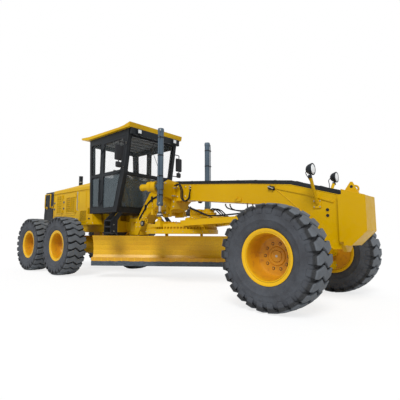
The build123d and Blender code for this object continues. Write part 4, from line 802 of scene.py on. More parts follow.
def on_wheels(shape, part, word, finishes, slot, smooth):
    """Ride one mesh on all six wheels, turned about on the right-hand side."""
    mesh = None
    for wheel in WHEELS:
        low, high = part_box(f"tyre_{wheel}")
        centre = [(a + b) / 2 for a, b in zip(low, high)]
        if mesh is None:
            piece = shape.done(f"{word}_{wheel}", f"wheel_{wheel}", finishes, slot, smooth)
            mesh = piece.data
        else:
            piece = bpy.data.objects.new(f"{word}_{wheel}", mesh)
            bpy.context.scene.collection.objects.link(piece)
            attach(piece, f"wheel_{wheel}")
        facing = 0 if wheel.endswith("left") else math.pi
        piece.matrix_world = Matrix.Translation(centre) @ Matrix.Rotation(facing, 4, "Z")
        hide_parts(f"{part}_{wheel}")
    return mesh


tyre_mesh = on_wheels(tyre_shape(), "tyre", "tread", [tyre_rubber], "tyre_rubber", 40)
print("tyre faces", len(tyre_mesh.polygons), "radius", round(TYRE_R, 3))

# %% [markdown]
# ## Rims
# The rim is pressed and welded steel: a rolled flange, a loose lock ring that shows as a second
# step, a gutter, and a disc set deep on the inner side with a raised hub cover and ten wheel
# nuts. One turned section makes the face and a second one the back, which is how the real ones
# are rolled, and the nuts are added round it.

# %% Rim
DISC_FACE = -0.098
# radius, offset from the middle plane, from the outer flange round to the inner one
RIM_SECTION = [
    (0.330, 0.150),
    (0.341, 0.170),
    (0.351, 0.178),
    (0.3515, 0.1805),
    (0.346, 0.1808),
    (0.334, 0.1795),
    (0.322, 0.1765),
    (0.314, 0.1700),
    (0.3085, 0.1690),
    (0.3035, 0.1730),
    (0.2965, 0.1735),
    (0.2910, 0.1660),
    (0.2860, 0.1400),
    (0.2800, 0.0400),
    (0.2720, -0.0300),
    (0.2580, -0.0700),
    (0.2450, -0.0860),
    (0.2200, DISC_FACE + 0.004),
    (0.1250, DISC_FACE + 0.002),
    (0.1180, DISC_FACE + 0.010),
    (0.1140, DISC_FACE + 0.013),
    (0.0860, DISC_FACE + 0.0136),
    (0.0820, DISC_FACE + 0.0136),
    (0.0780, DISC_FACE + 0.0040),
    (0.0740, DISC_FACE + 0.0040),
    (0.0700, DISC_FACE + 0.0136),
    (0.0001, DISC_FACE + 0.0139),
]
RIM_BACK = [
    (0.330, 0.150),
    (0.330, -0.150),
    (0.341, -0.170),
    (0.351, -0.178),
    (0.346, -0.1808),
    (0.322, -0.1765),
    (0.306, -0.168),
    (0.300, -0.145),
    (0.296, -0.132),
    (0.0001, -0.1315),
]
NUTS = 10
NUT_CIRCLE = 0.165


def rim_shape():
    shape = Shape()
    shape.ring((0, 0, 0), (0, 1, 0), RIM_SECTION, 72)
    shape.ring((0, 0, 0), (0, 1, 0), RIM_BACK, 72)
    for number in range(NUTS):
        angle = 2 * math.pi * (number + 0.5) / NUTS
        at = (NUT_CIRCLE * math.sin(angle), DISC_FACE + 0.002, NUT_CIRCLE * math.cos(angle))
        shape.turned(at, (0, 1, 0), [(0.021, 0), (0.021, 0.003), (0.0001, 0.003)], 16, 1)
        shape.turned(at, (0, 1, 0), [(0.0145, 0), (0.0145, 0.0085), (0.011, 0.0115), (0.0001, 0.0118)], 6)
    shape.turned(
        (0, DISC_FACE + 0.0139, 0), (0, 1, 0), [(0.016, 0), (0.016, 0.0001), (0.0001, 0.0001)], 16, 2
    )
    return shape


rim_mesh = on_wheels(rim_shape(), "rim", "disc", [rim_paint, cast_iron, bright_bolt], "yellow_paint", 30)
print("rim faces", len(rim_mesh.polygons))

# %% [markdown]
# ## Outlines
# Cut and pressed plates seldom have sharp corners. Two small helpers do most of the work: one
# rounds the corners of an outline, the other draws a convex outline in by a gap. A frame between
# two such outlines makes gaskets, grille rims and lamp bezels.

# %% Rounded and drawn-in outlines
def rounded(corners, radius, steps=4):
    """An outline with its corners rounded."""
    line = []
    for number, corner in enumerate(corners):
        here = Vector(corner)
        before = Vector(corners[number - 1]) - here
        after = Vector(corners[(number + 1) % len(corners)]) - here
        start = here + before.normalized() * min(radius, before.length * 0.45)
        end = here + after.normalized() * min(radius, after.length * 0.45)
        for step in range(steps + 1):
            t = step / steps
            line.append(tuple(start * (1 - t) ** 2 + here * 2 * t * (1 - t) + end * t**2))
    return line


def inset(corners, gap):
    """A convex outline drawn in by a gap."""
    middle = sum((Vector(corner) for corner in corners), Vector((0, 0))) / len(corners)
    edges = []
    for number, corner in enumerate(corners):
        start = Vector(corner)
        along = (Vector(corners[(number + 1) % len(corners)]) - start).normalized()
        square = Vector((-along.y, along.x))
        if (middle - start).dot(square) < 0:
            square = -square
        edges.append((start + square * gap, along))
    line = []
    for (p, d), (q, e) in zip([edges[-1]] + edges[:-1], edges):
        reach = ((q - p).x * e.y - (q - p).y * e.x) / (d.x * e.y - d.y * e.x)
        line.append(tuple(p + d * reach))
    return line


def rim_of(shape, outer, inner, low, high, lay, finish=0):
    """A frame between two outlines with the same number of points."""
    rows = [(outer, low), (outer, high), (inner, high), (inner, low), (outer, low)]
    shape.skin([[lay(a, b, level) for a, b in outline] for outline, level in rows], finish, caps=False)


def panel_line(shape, x0, x1, z0, z1, face, rise, turns=(0.02, 0.016), gap=0.006):
    """A raised line round a panel on an upright face."""
    outer = rounded(oblong(x0, x1, z0, z1), turns[0])
    inner = rounded(oblong(x0 + gap, x1 - gap, z0 + gap, z1 - gap), turns[1])
    rim_of(shape, outer, inner, *sorted((face, face + rise)), upright)


def upright(a, b, level):
    """Lay an outline in x and z, its level along y."""
    return (a, level, b)


def crosswise(a, b, level):
    """Lay an outline in y and z, its level along x."""
    return (level, a, b)


def flat(a, b, level):
    """Lay an outline in x and y, its level up."""
    return (a, b, level)


def oblong(a0, a1, b0, b1):
    return [(a0, b0), (a1, b0), (a1, b1), (a0, b1)]


print("outlines ready")

# %% [markdown]
# ## Headlamps
# Each headlamp is a black pressed bowl with a fluted lens. It stands on a slanting yellow stalk
# that is bolted to the frame's flank, so that the light clears the nose. The bowl is turned like
# the real one, with a rolled edge round the lens.

# %% Headlamps
lamp_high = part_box("headlamps")[1]
LAMP_Y = 0.45
LAMP_Z = lamp_high[2] - 0.085
lamps = Shape()
for side in (-1, 1):
    centre = (lamp_high[0] - 0.11, side * LAMP_Y, LAMP_Z)
    bowl = [(0.0001, 0.004), (0.03, 0.004), (0.052, 0.018), (0.068, 0.04), (0.077, 0.066), (0.0795, 0.082)]
    edge = [(0.0845, 0.084), (0.0845, 0.097), (0.08, 0.101), (0.072, 0.101), (0.071, 0.096)]
    lamps.ring(centre, AHEAD, bowl + edge, 36)
    lamps.ring(centre, AHEAD, [(0.0715, 0.094), (0.06, 0.103), (0.035, 0.1085), (0.0001, 0.11)], 36, 1)
    foot_y = side * 0.16
    out = side * 0.014
    plate = rounded(oblong(3.7, 3.82, 1.33, 1.45), 0.012)
    lamps.plate(plate, foot_y, foot_y + out, upright, 2)
    for x in (3.718, 3.802):
        for z in (1.348, 1.432):
            lamps.bolt((x, foot_y + out, z), (0, side, 0), 0.008, 3)
    base = (3.762, foot_y + out, 1.392)
    top = (3.79, side * 0.428, 1.738)
    lamps.bar(base, top, 0.023, 14, 2)
    fork = [(3.772, 1.73), (3.812, 1.73), (3.808, 1.772), (3.776, 1.772)]
    lamps.plate(fork, side * 0.425, side * 0.475, upright)
    lamps.bolt((3.792, side * 0.45, 1.765), (0, side, 0), 0.01, 3)
    lamps.hose([
        (3.742, side * 0.44, 1.84), (3.722, side * 0.42, 1.8), (3.752, side * 0.36, 1.7),
        (3.758, side * 0.24, 1.52), (3.745, side * 0.18, 1.452),
    ], 0.006, 8, 0, 6)
headlamp_pair = lamps.done(
    "headlamp_pair", "front_machine", [black_paint, lamp_lens, yellow_paint, bright_bolt], "black_paint", 40
)
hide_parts("headlamps")
print("headlamps", len(headlamp_pair.data.polygons))

# %% [markdown]
# ## Work lamps
# The lamps under the roof are small square floodlights: a black case with a flat white lens in a
# thin bezel. A rounded frame and a slightly sunk lens give the shadow line of the real ones.

# %% Work lamps
work_low, work_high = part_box("work_lamps")
floods = Shape()
for y in (-0.53, 0.53):
    for x, facing, z in ((work_high[0], 1, 3.13), (work_low[0], -1, 3.12)):
        back = x - facing * 0.045
        outer = rounded(oblong(y - 0.056, y + 0.056, z - 0.05, z + 0.05), 0.012)
        inner = rounded(oblong(y - 0.047, y + 0.047, z - 0.041, z + 0.041), 0.009)
        floods.plate(outer, back, x - facing * 0.008, crosswise)
        rim_of(floods, outer, inner, x - facing * 0.008, x, crosswise)
        floods.plate(inner, x - facing * 0.0085, x - facing * 0.004, crosswise, 1)
flood_set = floods.done("flood_set", "rear_machine", [black_paint, lamp_lens], "lamp_body", 30)
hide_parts("work_lamps")
print("work lamps", len(flood_set.data.polygons))

# %% [markdown]
# ## Panes
# The side windows are clear above the waist. Below it the panes are darker and denser, a painted
# shade that stands for the dark inside of the cab seen through them. Each pane is a flat sheet with
# rounded corners held in a black rubber gasket that stands a little proud of the frame. The
# panes swing with the doors, so each door carries its own pair.

# %% Panes and gaskets
CAB_FRONT = [(-0.35, 1.42), (-0.11, 2.25), (0.04, 3.2)]
CAB_REAR = [(-1.4, 1.42), (-1.51, 3.2)]
CAB_SIDE_Y = 0.72


def front_x(z):
    """X of the cab's front face at a height."""
    (x0, z0), (x1, z1), (x2, z2) = CAB_FRONT
    if z < z1:
        return x0 + (x1 - x0) * (z - z0) / (z1 - z0)
    return x1 + (x2 - x1) * (z - z1) / (z2 - z1)


def rear_x(z):
    """X of the cab's rear face at a height."""
    (x0, z0), (x1, z1) = CAB_REAR
    return x0 + (x1 - x0) * (z - z0) / (z1 - z0)


def glazed(shape, corners, level, thick, lay, tint, proud, lip=0.012):
    """One pane with its gasket: tint is the number of its finish, the gasket is finish 0."""
    shape.plate(rounded(inset(corners, 0.002), 0.045), level, level + thick, lay, tint)
    outer = rounded(inset(corners, -0.006), 0.05)
    inner = rounded(inset(corners, lip), 0.036)
    low, high = sorted((level, level + proud))
    rim_of(shape, outer, inner, low, high, lay, 0)


DOOR_REAR_X = -0.955
STILE_REAR, STILE_FRONT = 0.061, 0.131


def door_pane(low, high):
    """The four corners of a pane between the door's stiles."""
    rear = DOOR_REAR_X + STILE_REAR
    return [(rear, low), (front_x(low) - STILE_FRONT, low), (front_x(high) - STILE_FRONT, high), (rear, high)]


for side, word in ((-1, "right"), (1, "left")):
    panes = Shape()
    level = side * (CAB_SIDE_Y - 0.024)
    for low, high, tint in ((1.521, 2.2625, 2), (2.3175, 3.009, 1)):
        glazed(panes, door_pane(low, high), level, side * 0.006, upright, tint, side * 0.027)
    door_panes = panes.done(
        f"door_panes_{word}", f"cab_door_{word}", [rubber_hose, clear_glass, dark_glass], "clear_glass", 30
    )
    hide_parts(f"door_glass_{word}")


def on_front(a, b, level):
    """Lay an outline in y and height on the cab's slanted front, its level forwards."""
    return (front_x(b) + level, a, b)


def on_rear(a, b, level):
    """Lay an outline in y and height on the cab's slanted rear, its level rearwards."""
    return (rear_x(b) - level, a, b)


fixed = Shape()
glazed(fixed, oblong(-0.64, 0.64, 1.53, 2.22), -0.03, 0.008, on_front, 2, 0.034)
glazed(fixed, oblong(-0.64, 0.64, 2.27, 3.05), -0.03, 0.008, on_front, 1, 0.034)
glazed(fixed, oblong(-0.6, 0.6, 2.33, 3.05), -0.03, 0.008, on_rear, 1, 0.034)
for side in (-1, 1):
    level = side * (CAB_SIDE_Y - 0.028)
    for low, high, tint in ((1.56, 2.2625, 2), (2.3175, 3.05, 1)):
        corners = [(rear_x(low) + 0.07, low), (-1.015, low), (-1.015, high), (rear_x(high) + 0.07, high)]
        glazed(fixed, corners, level, side * 0.006, upright, tint, side * 0.031)
fixed_panes = fixed.done(
    "fixed_panes", "rear_machine", [rubber_hose, clear_glass, dark_glass], "clear_glass", 30
)
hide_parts("cab_glass")
print("fixed panes", len(fixed_panes.data.polygons))

# %% [markdown]
# ## Cab trim
# Small parts make a cab look real: a wiper on the windscreen, a ribbed lining under the roof and
# grab bars beside the doors. The wiper is a thin arm with a blade, the lining a row of pale pads
# seen through the windows from below, and each grab bar a bent tube on two short feet.

# %% Wiper, roof lining and grab bars
trim = Shape()
pivot = (front_x(2.3) + 0.018, 0.33, 2.3)
trim.turned(pivot, AHEAD, [(0.02, -0.018), (0.02, 0.004), (0.012, 0.01), (0.0001, 0.011)], 16)
tip = (front_x(2.86) + 0.02, -0.05, 2.86)
trim.hose([pivot, (front_x(2.56) + 0.024, 0.15, 2.56), tip], 0.0055, 8, 0, 6)
trim.hose([
    (front_x(2.6) + 0.014, -0.13, 2.6), (front_x(2.86) + 0.014, -0.05, 2.86),
    (front_x(3.03) + 0.01, 0.005, 3.03),
], 0.007, 8, 0, 6)
for rib in range(7):
    x = -1.36 + rib * 0.215
    trim.box((x, -0.6, 3.118), (x + 0.12, 0.6, 3.149), 1)
for side in (-1, 1):
    y = side * 0.742
    x = -1.01
    for z in (1.62, 2.16):
        trim.bar((x, side * 0.718, z), (x, side * 0.745, z), 0.011, 10)
    trim.hose([
        (x, y, 1.6), (x, y + side * 0.004, 1.75), (x, y + side * 0.004, 2.03), (x, y, 2.18)
    ], 0.012, 10, 0, 5)
cab_trim = trim.done("cab_trim", "rear_machine", [black_paint, roof_lining], "black_paint", 35, 0.002)
print("cab trim", len(cab_trim.data.polygons))

# %% [markdown]
# ## Mirrors
# Each mirror has a tall housing and a small one below it, on a bent tube with two feet on the
# pillar. The housings are rounded shells with the glass on their rear faces. A plain box would
# lose the soft edge that catches the light.

# %% Mirrors
def soft_box(shape, low, high, radius, finish=0, stretch=4):
    """A box with a rounded outline across it and a rolled edge at its front, along x."""
    (x0, y0, z0), (x1, y1, z1) = low, high
    outline = oblong(y0, y1, z0, z1)
    rings = []
    for x, gap in ((x0, 0.0), (x1 - radius, 0.0), (x1 - radius * 0.4, radius * 0.25), (x1, radius * 0.9)):
        rings.append([(x, a, b) for a, b in rounded(inset(outline, gap), radius, stretch)])
    shape.skin(rings, finish)


mirror_pair = Shape()
for side in (-1, 1):
    y = side * 0.9
    x = -0.06
    for z in (2.88, 2.36):
        foot_x = front_x(z) - 0.035
        mirror_pair.plate(
            rounded(oblong(foot_x - 0.02, foot_x + 0.02, z - 0.03, z + 0.03), 0.008), side * 0.7203,
            side * 0.732, upright,
        )
        for up in (-0.018, 0.018):
            mirror_pair.bolt((foot_x, side * 0.732, z + up), (0, side, 0), 0.006, 2)
    top = (front_x(2.88) - 0.035, side * 0.732, 2.88)
    low = (front_x(2.36) - 0.035, side * 0.732, 2.36)
    mirror_pair.hose([
        top, (x - 0.01, side * 0.8, 2.886), (x, side * 0.885, 2.88), (x, y, 2.84), (x, y, 2.6), (x, y, 2.4),
        (x, side * 0.885, 2.345), (x - 0.02, side * 0.8, 2.352), low,
    ], 0.0105, 10, 0, 6)
    soft_box(mirror_pair, (x - 0.022, y - 0.093, 2.482), (x + 0.024, y + 0.093, 2.808), 0.026)
    mirror_pair.plate(
        rounded(oblong(y - 0.082, y + 0.082, 2.494, 2.796), 0.02), x - 0.0235, x - 0.0215, crosswise, 1
    )
    soft_box(mirror_pair, (x - 0.02, y - 0.066, 2.33), (x + 0.024, y + 0.066, 2.452), 0.03)
    mirror_pair.plate(
        rounded(oblong(y - 0.056, y + 0.056, 2.34, 2.442), 0.024), x - 0.0215, x - 0.0195, crosswise, 1
    )
mirror_set = mirror_pair.done(
    "mirror_set", "rear_machine", [trim_plastic, mirror_face, bright_bolt], "black_paint", 35
)
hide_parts("mirrors")
print("mirrors", len(mirror_set.data.polygons))

# %% [markdown]
# ## Operator's seat and console
# The seat is foam under black fabric: a cushion and a backrest that bulge between their sewn
# channels, with a seam round the edges, a headrest and two small armrests. A superellipse gives
# that crowned form with few faces, and a sewn channel is a row of points pushed in. Cloth
# simulation would give freer folds, but these pads are moulded firm and seen through glass.

# %% Cushions
def cushion(name, centre, size, tilt, body, crown=0.35, square=0.35, channels=()):
    """A crowned closed pad: size is the full box, channels are places across it, -1 to 1."""
    shape = Shape()
    across, around = 28, 36
    rings = []
    for step in range(1, across):
        v = math.pi * (step / across - 0.5)
        ring = []
        for turn in range(around):
            u = 2 * math.pi * turn / around
            cv, sv, cu, su = math.cos(v), math.sin(v), math.cos(u), math.sin(u)
            a = math.copysign(abs(cv) ** crown * abs(cu) ** square, cu)
            b = math.copysign(abs(cv) ** crown * abs(su) ** square, su)
            c = math.copysign(abs(sv) ** 0.75, sv)
            dent = sum(0.1 * math.exp(-(((a - place) / 0.035) ** 2)) for place in channels) if c > 0 else 0.0
            ring.append((a * size[0] / 2, b * size[1] / 2, (c - dent) * size[2] / 2))
        rings.append(ring)
    shape.skin(rings)
    seam = [
        [(p[0] * 1.004, p[1] * 1.004, p[2] + lift) for p in rings[across // 2]] for lift in (-0.003, 0.003)
    ]
    shape.skin(seam, 1, caps=False)
    pad = shape.done(name, body, [seat_fabric, trim_plastic], "seat_plastic", 60)
    pad.matrix_world = Matrix.Translation(centre) @ Matrix.Rotation(math.radians(tilt), 4, "Y")
    return pad


cushion("seat_cushion", (-0.945, 0, 1.815), (0.485, 0.515, 0.125), 0, "rear_machine", channels=(-0.35, 0.35))
cushion("seat_back", (-1.13, 0, 2.15), (0.52, 0.495, 0.11), 84, "rear_machine", channels=(-0.45, 0.1, 0.55))
cushion("seat_headrest", (-1.17, 0, 2.455), (0.12, 0.27, 0.09), 84, "rear_machine")
for side in (-1, 1):
    cushion(
        f"armrest_{'right' if side < 0 else 'left'}", (-0.935, side * 0.296, 2.022), (0.305, 0.064, 0.05),
        0, "rear_machine",
    )
print("cushions ready")

# %% Pedestal, levers and steering wheel
station = Shape()
base = rounded(oblong(-1.12, -0.84, -0.165, 0.165), 0.03)
station.plate(base, 1.471, 1.52, flat)
for step in range(6):
    gap = 0.012 if step % 2 else 0.0
    station.plate(
        rounded(inset(oblong(-1.11, -0.85, -0.155, 0.155), gap), 0.03), 1.52 + step * 0.03,
        1.55 + step * 0.03, flat, 1,
    )
station.plate(rounded(oblong(-1.18, -0.715, -0.24, 0.24), 0.03), 1.7, 1.758, flat)
back_shell = [(-1.196, 1.8), (-1.176, 1.8), (-1.212, 2.52), (-1.228, 2.52)]
station.plate(back_shell, -0.215, 0.215, upright)
for side in (-1, 1):
    station.hose([
        (-1.06, side * 0.24, 1.81), (-1.06, side * 0.29, 1.835), (-1.058, side * 0.296, 1.9),
        (-1.05, side * 0.296, 1.998),
    ], 0.016, 10, 0, 5)
    station.plate(
        rounded(oblong(-1.08, -0.79, side * 0.296 - 0.024, side * 0.296 + 0.024), 0.018), 1.991, 2.001, flat
    )
column = [(-0.52, 1.47), (-0.42, 1.47), (-0.4, 1.9), (-0.52, 2.23), (-0.6, 2.2), (-0.52, 1.88)]
station.plate(rounded(column, 0.03), -0.11, 0.11, upright)
station.plate([(-0.56, 2.08), (-0.47, 2.08), (-0.49, 2.205), (-0.556, 2.19)], -0.328, 0.328, upright)
station.plate([(-0.585, 2.19), (-0.54, 2.208), (-0.53, 2.24), (-0.592, 2.215)], -0.095, 0.095, upright, 1)
hub = Vector((-0.61, 0, 2.25))
slope = Vector((-math.sin(math.radians(35)), 0, math.cos(math.radians(35))))
_, wheel_side, wheel_up = axes_of(slope)
angles = [2 * math.pi * number / 40 for number in range(41)]
ring = [hub + (wheel_side * math.cos(a) + wheel_up * math.sin(a)) * 0.176 for a in angles]
station.hose(ring, 0.0125, 10, 0, 1)
for number in range(3):
    a = 2 * math.pi * number / 3 + 0.5
    station.bar(
        hub - slope * 0.005, hub + (wheel_side * math.cos(a) + wheel_up * math.sin(a)) * 0.17, 0.009, 8, 1
    )
station.ring(hub - slope * 0.02, slope, [(0.04, 0), (0.04, 0.02), (0.026, 0.028), (0.0001, 0.03)], 20)
station.bar((-0.56, 0, 2.18), hub, 0.018, 12, 1)
for y in (-0.3, -0.255, -0.21, -0.165, 0.165, 0.21, 0.255, 0.3):
    station.bar((-0.52, y, 2.19), (-0.535, y * 1.02, 2.3), 0.005, 8, 2)
    station.ring((-0.533, y * 1.02, 2.29), (-0.13, 0, 1), [
        (0.0001, -0.002), (0.01, 0.002), (0.013, 0.014), (0.01, 0.028), (0.0001, 0.032)
    ], 12)
for y in (-0.085, 0.085):
    station.plate(rounded(oblong(-0.42, -0.395, y - 0.04, y + 0.04), 0.008), 1.5, 1.56, flat, 1)
station_piece = station.done(
    "operator_console", "rear_machine", [trim_plastic, rubber_hose, chrome], "seat_plastic", 35
)
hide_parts("operator_station")
print("console", len(station_piece.data.polygons))

# %% [markdown]
# ## Lift cylinders
# A blade lift cylinder is a tube with a screwed gland at its foot, a welded cap on top, and a
# steel pipe clamped along it that feeds the far end. The chrome rod ends in a bolted ball cap.
# These parts stand on the plain barrel and rod, and each rides with its own half.

# %% Lift cylinder fittings
LIFT_X, LIFT_Y = 1.01, 0.7
for side, word in ((-1, "right"), (1, "left")):
    y = side * LIFT_Y
    barrel_low, barrel_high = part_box(f"lift_barrel_{word}")
    foot, top = barrel_low[2], barrel_high[2]
    fittings = Shape()
    gland = [(0.024, 0.001), (0.052, 0.001), (0.0585, 0.01), (0.0625, 0.016), (0.0625, 0.06), (0.0565, 0.064)]
    fittings.ring((LIFT_X, y, foot - 0.001), UP, gland, 32)
    cap = [
        (0.0565, -0.075), (0.061, -0.07), (0.061, -0.018), (0.052, -0.0005), (0.02, -0.0005),
        (0.0001, -0.0005),
    ]
    fittings.ring((LIFT_X, y, top), UP, cap, 32)
    for z in (1.795, 1.905):
        fittings.ring((LIFT_X, y, z - 0.006), UP, collar_line(0.0565, 0.072, 0.012, 0), 32)
    out = side * 0.068
    fittings.hose([
        (LIFT_X + 0.03, y + side * 0.05, foot + 0.045), (LIFT_X + 0.034, y + out, foot + 0.08),
        (LIFT_X + 0.034, y + out, foot + 0.3), (LIFT_X + 0.034, y + out, top - 0.14),
        (LIFT_X + 0.03, y + side * 0.05, top - 0.05),
    ], 0.0085, 10, 1, 6)
    for z in (foot + 0.19, foot + 0.55, foot + 0.95, foot + 1.3):
        fittings.ring((LIFT_X, y, z), UP, collar_line(0.0562, 0.059, 0.022, 0), 28, 2)
        near, far = sorted((y + side * 0.05, y + side * 0.08))
        fittings.box((LIFT_X + 0.018, near, z), (LIFT_X + 0.05, far, z + 0.022), 2)
        fittings.bolt((LIFT_X + 0.034, y + side * 0.08, z + 0.011), (0, side, 0), 0.006, 3)
    for z in (foot + 0.045, top - 0.05):
        fittings.turned((LIFT_X, y, z), (0.6, side, 0), [(0.016, 0.05), (0.016, 0.068), (0.012, 0.07)], 6, 3)
    fittings.done(
        f"lift_fittings_{word}", f"lift_barrel_{word}",
        [barrel_paint, barrel_paint, black_paint, bright_bolt], "cylinder_grey", 35,
    )
    rod_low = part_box(f"lift_rod_{word}")[0]
    ball_cap = Shape()
    ball_cap.ring((LIFT_X, y, rod_low[2] + 0.048), UP, [
        (0.0525, -0.0005), (0.0525, 0.01), (0.04, 0.016), (0.034, 0.03), (0.0275, 0.036), (0.0232, 0.038)
    ], 28)
    ball_cap.ring((LIFT_X, y, rod_low[2] + 0.001), UP, collar_line(0.0525, 0.064, 0.016, 0), 28)
    ball_cap.bolt_circle((LIFT_X, y, rod_low[2] + 0.017), UP, 0.058, 6, 0.0055)
    ball_cap.done(f"ball_cap_{word}", f"lift_rod_{word}", [cast_iron, bright_bolt], "cylinder_grey", 35)
print("lift fittings ready")

# %% [markdown]
# ## Saddle
# The saddle clamps round the beam and carries the lift arms. Bolts hold its side plates, welded
# ribs stiffen them, and a bolted ring closes each trunnion. In front of the saddle, hoses with
# bright crimped ends loop down to the beam. Each loop is one tube along a smooth line, because a
# pressure hose is stiff and keeps its bend.

# %% A hose end
def fitting(shape, at, axis, finish=0, size=1.0):
    """A crimped hose end: a hexagon, a collar and a short sleeve."""
    shape.turned(at, axis, [
        (0.016 * size, 0), (0.016 * size, 0.014 * size), (0.013 * size, 0.016 * size)
    ], 6, finish)
    sleeve = [
        (0.012 * size, 0.014 * size), (0.014 * size, 0.018 * size), (0.014 * size, 0.045 * size),
        (0.011 * size, 0.05 * size),
    ]
    shape.turned(at, axis, sleeve, 14, finish)


# %% Saddle details
PLATE_FACE, CASTING_X, CASTING_Z = 0.205, 0.37, 1.885
ARM_TOE = math.radians(21.24)
details = Shape()
for side in (-1, 1):
    face = side * PLATE_FACE
    for x, z in (
        (0.62, 1.93), (0.62, 1.8), (0.62, 1.66), (0.65, 1.52), (0.68, 1.39), (0.75, 1.34), (0.64, 2.0),
        (0.88, 1.6), (0.87, 1.5),
    ):
        details.bolt((x, face, z), (0, side, 0), 0.014, 1)
    rib = [(0.712, 1.36), (0.752, 1.36), (0.775, 1.64), (0.712, 1.64)]
    details.plate(rounded(rib, 0.01), face, face + side * 0.06, upright)
    wedge = [(0.2, 1.64), (0.205, 1.48), (0.225, 1.48), (0.42, 1.65), (0.42, 1.672)]
    details.plate([(side * a, b) for a, b in wedge], 0.77, 0.795, crosswise)
    ahead = Vector((math.cos(ARM_TOE), -side * math.sin(ARM_TOE), 0))
    yoke = Vector((LIFT_X, side * LIFT_Y, 1.85))
    details.ring(yoke - ahead * 0.2, ahead, collar_line(0.0925, 0.101, 0.022), 32)
    details.ring(yoke - ahead * 0.098, ahead, collar_line(0.0925, 0.1, 0.016), 32)
    _, right, up = axes_of(ahead)
    for number in range(8):
        a = 2 * math.pi * (number + 0.5) / 8
        details.bolt(yoke - ahead * 0.082 + (right * math.cos(a) + up * math.sin(a)) * 0.076, ahead, 0.007, 1)
    casting_y = side * 0.61
    details.ring((CASTING_X, casting_y, CASTING_Z), AHEAD, [
        (0.0625, 0.001), (0.07, 0.003), (0.07, 0.03), (0.0625, 0.033)
    ], 30)
    details.ring((CASTING_X, casting_y, CASTING_Z), AHEAD, [
        (0.0625, 0.2), (0.068, 0.204), (0.068, 0.236), (0.0625, 0.24)
    ], 30)
    details.bolt_circle((CASTING_X, casting_y, CASTING_Z), (-1, 0, 0), 0.045, 6, 0.008)
    for shift in (-0.02, 0.022):
        for lift in (0.25, 0.095):
            fitting(details, (0.93 - lift * 0.2, side * (0.23 + shift), 1.965 - lift), AHEAD, 1)
        details.hose([
            (0.945, side * (0.232 + shift), 1.915), (1.06, side * (0.24 + shift), 1.93),
            (1.14, side * (0.25 + shift), 1.82), (1.15, side * (0.25 + shift), 1.66),
            (1.205, side * (0.225 + shift), 1.59), (1.29, side * (0.205 + shift * 0.5), 1.64),
            (1.3, side * 0.19, 1.76), (1.3, side * 0.166, 1.85),
        ], 0.012, 10, 2, 7)
        fitting(details, (1.3, side * 0.161, 1.85 + shift), (0, side, 0), 1)
for number in range(6):
    y = -0.48 + number * 0.11
    details.ring((0.5995, y, 1.385), (-1, 0, 0), collar_line(0.0245, 0.031, 0.004, 0), 20, 1)
for y in (-0.535, 0.405):
    details.bolt((0.6, y, 1.41), (-1, 0, 0), 0.01, 1)
    details.bolt((0.6, y, 1.36), (-1, 0, 0), 0.01, 1)
details.ring((0.56, -0.245, 1.385), AHEAD, [(0.022, 0), (0.022, 0.16), (0.016, 0.17), (0.0001, 0.17)], 16, 1)
details.done("saddle_details", "front_machine", [yellow_paint, bright_bolt, rubber_hose], "yellow_paint", 35)
print("saddle ready")

# %% [markdown]
# ## Circle drive
# A hydraulic motor turns the circle through a worm gearbox. The cover is a stack of machined
# flanges, two of them with a ring of bolts. The worm's rounded housing stands behind it, above
# the drawbar, with the dark motor at its rear end and hoses that run forward. The housing is a
# pushed outline and the motor a turned one, and every bolt is a washer and a hexagon.

# %% Circle drive details
drive_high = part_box("circle_drive")[1]
DRIVE_X = 1.6
gearbox = Shape()
top = drive_high[2] - 0.12
for radius, level, bolts, size in (
    (0.15, 0.045, 12, 0.01), (0.108, 0.095, 8, 0.008), (0.052, 0.12, 0, 0.007)
):
    gearbox.ring((DRIVE_X, 0, top + level - 0.018), UP, [
        (radius + 0.0105, 0), (radius + 0.016, 0.002), (radius + 0.016, 0.012), (radius + 0.0105, 0.0175)
    ], 40)
    gearbox.bolt_circle((DRIVE_X, 0, top + level - 0.0005), UP, radius - 0.006, bolts, size)
for x in (1.3, 1.4, 1.5, 1.7, 1.78):
    for side in (-1, 1):
        gearbox.bolt((x, side * 0.17, 1.175), (0, side, 0), 0.011, 1)
for side in (-1, 1):
    gearbox.plate(rounded(oblong(1.345, 1.8, 1.19, 1.285), 0.03), side * 0.17, side * 0.182, upright)
    for x, z in (
        (1.362, 1.206), (1.362, 1.268), (1.572, 1.272), (1.782, 1.206), (1.782, 1.268), (1.572, 1.204)
    ):
        gearbox.bolt((x, side * 0.182, z), (0, side, 0), 0.008, 1)
motor_line = [
    (0.0001, 0), (0.05, 0.0), (0.056, 0.006), (0.056, 0.06), (0.062, 0.064), (0.062, 0.11), (0.07, 0.114),
    (0.07, 0.134), (0.085, 0.136), (0.085, 0.152),
]
worm = rounded(oblong(-0.15, 0.11, 1.305, 1.425), 0.03)
gearbox.plate(worm, 1.275, 1.47, crosswise)
rim_of(
    gearbox, rounded(inset(oblong(-0.15, 0.11, 1.305, 1.425), -0.012), 0.034), worm, 1.29, 1.312, crosswise
)
for y, z in ((-0.135, 1.322), (-0.135, 1.408), (0.095, 1.322), (0.095, 1.408)):
    gearbox.bolt((1.275, y, z), (-1, 0, 0), 0.009, 1)
gearbox.ring((1.126, -0.06, 1.362), AHEAD, motor_line, 32, 2)
gearbox.box((1.15, -0.1, 1.408), (1.215, -0.02, 1.44), 2)
gearbox.ring((1.47, -0.06, 1.365), AHEAD, [(0.055, 0), (0.055, 0.03), (0.0001, 0.034)], 28)
gearbox.ring((1.13, -0.095, 1.235), AHEAD, [(0.0001, 0), (0.04, 0.001), (0.044, 0.006), (0.044, 0.14)], 28)
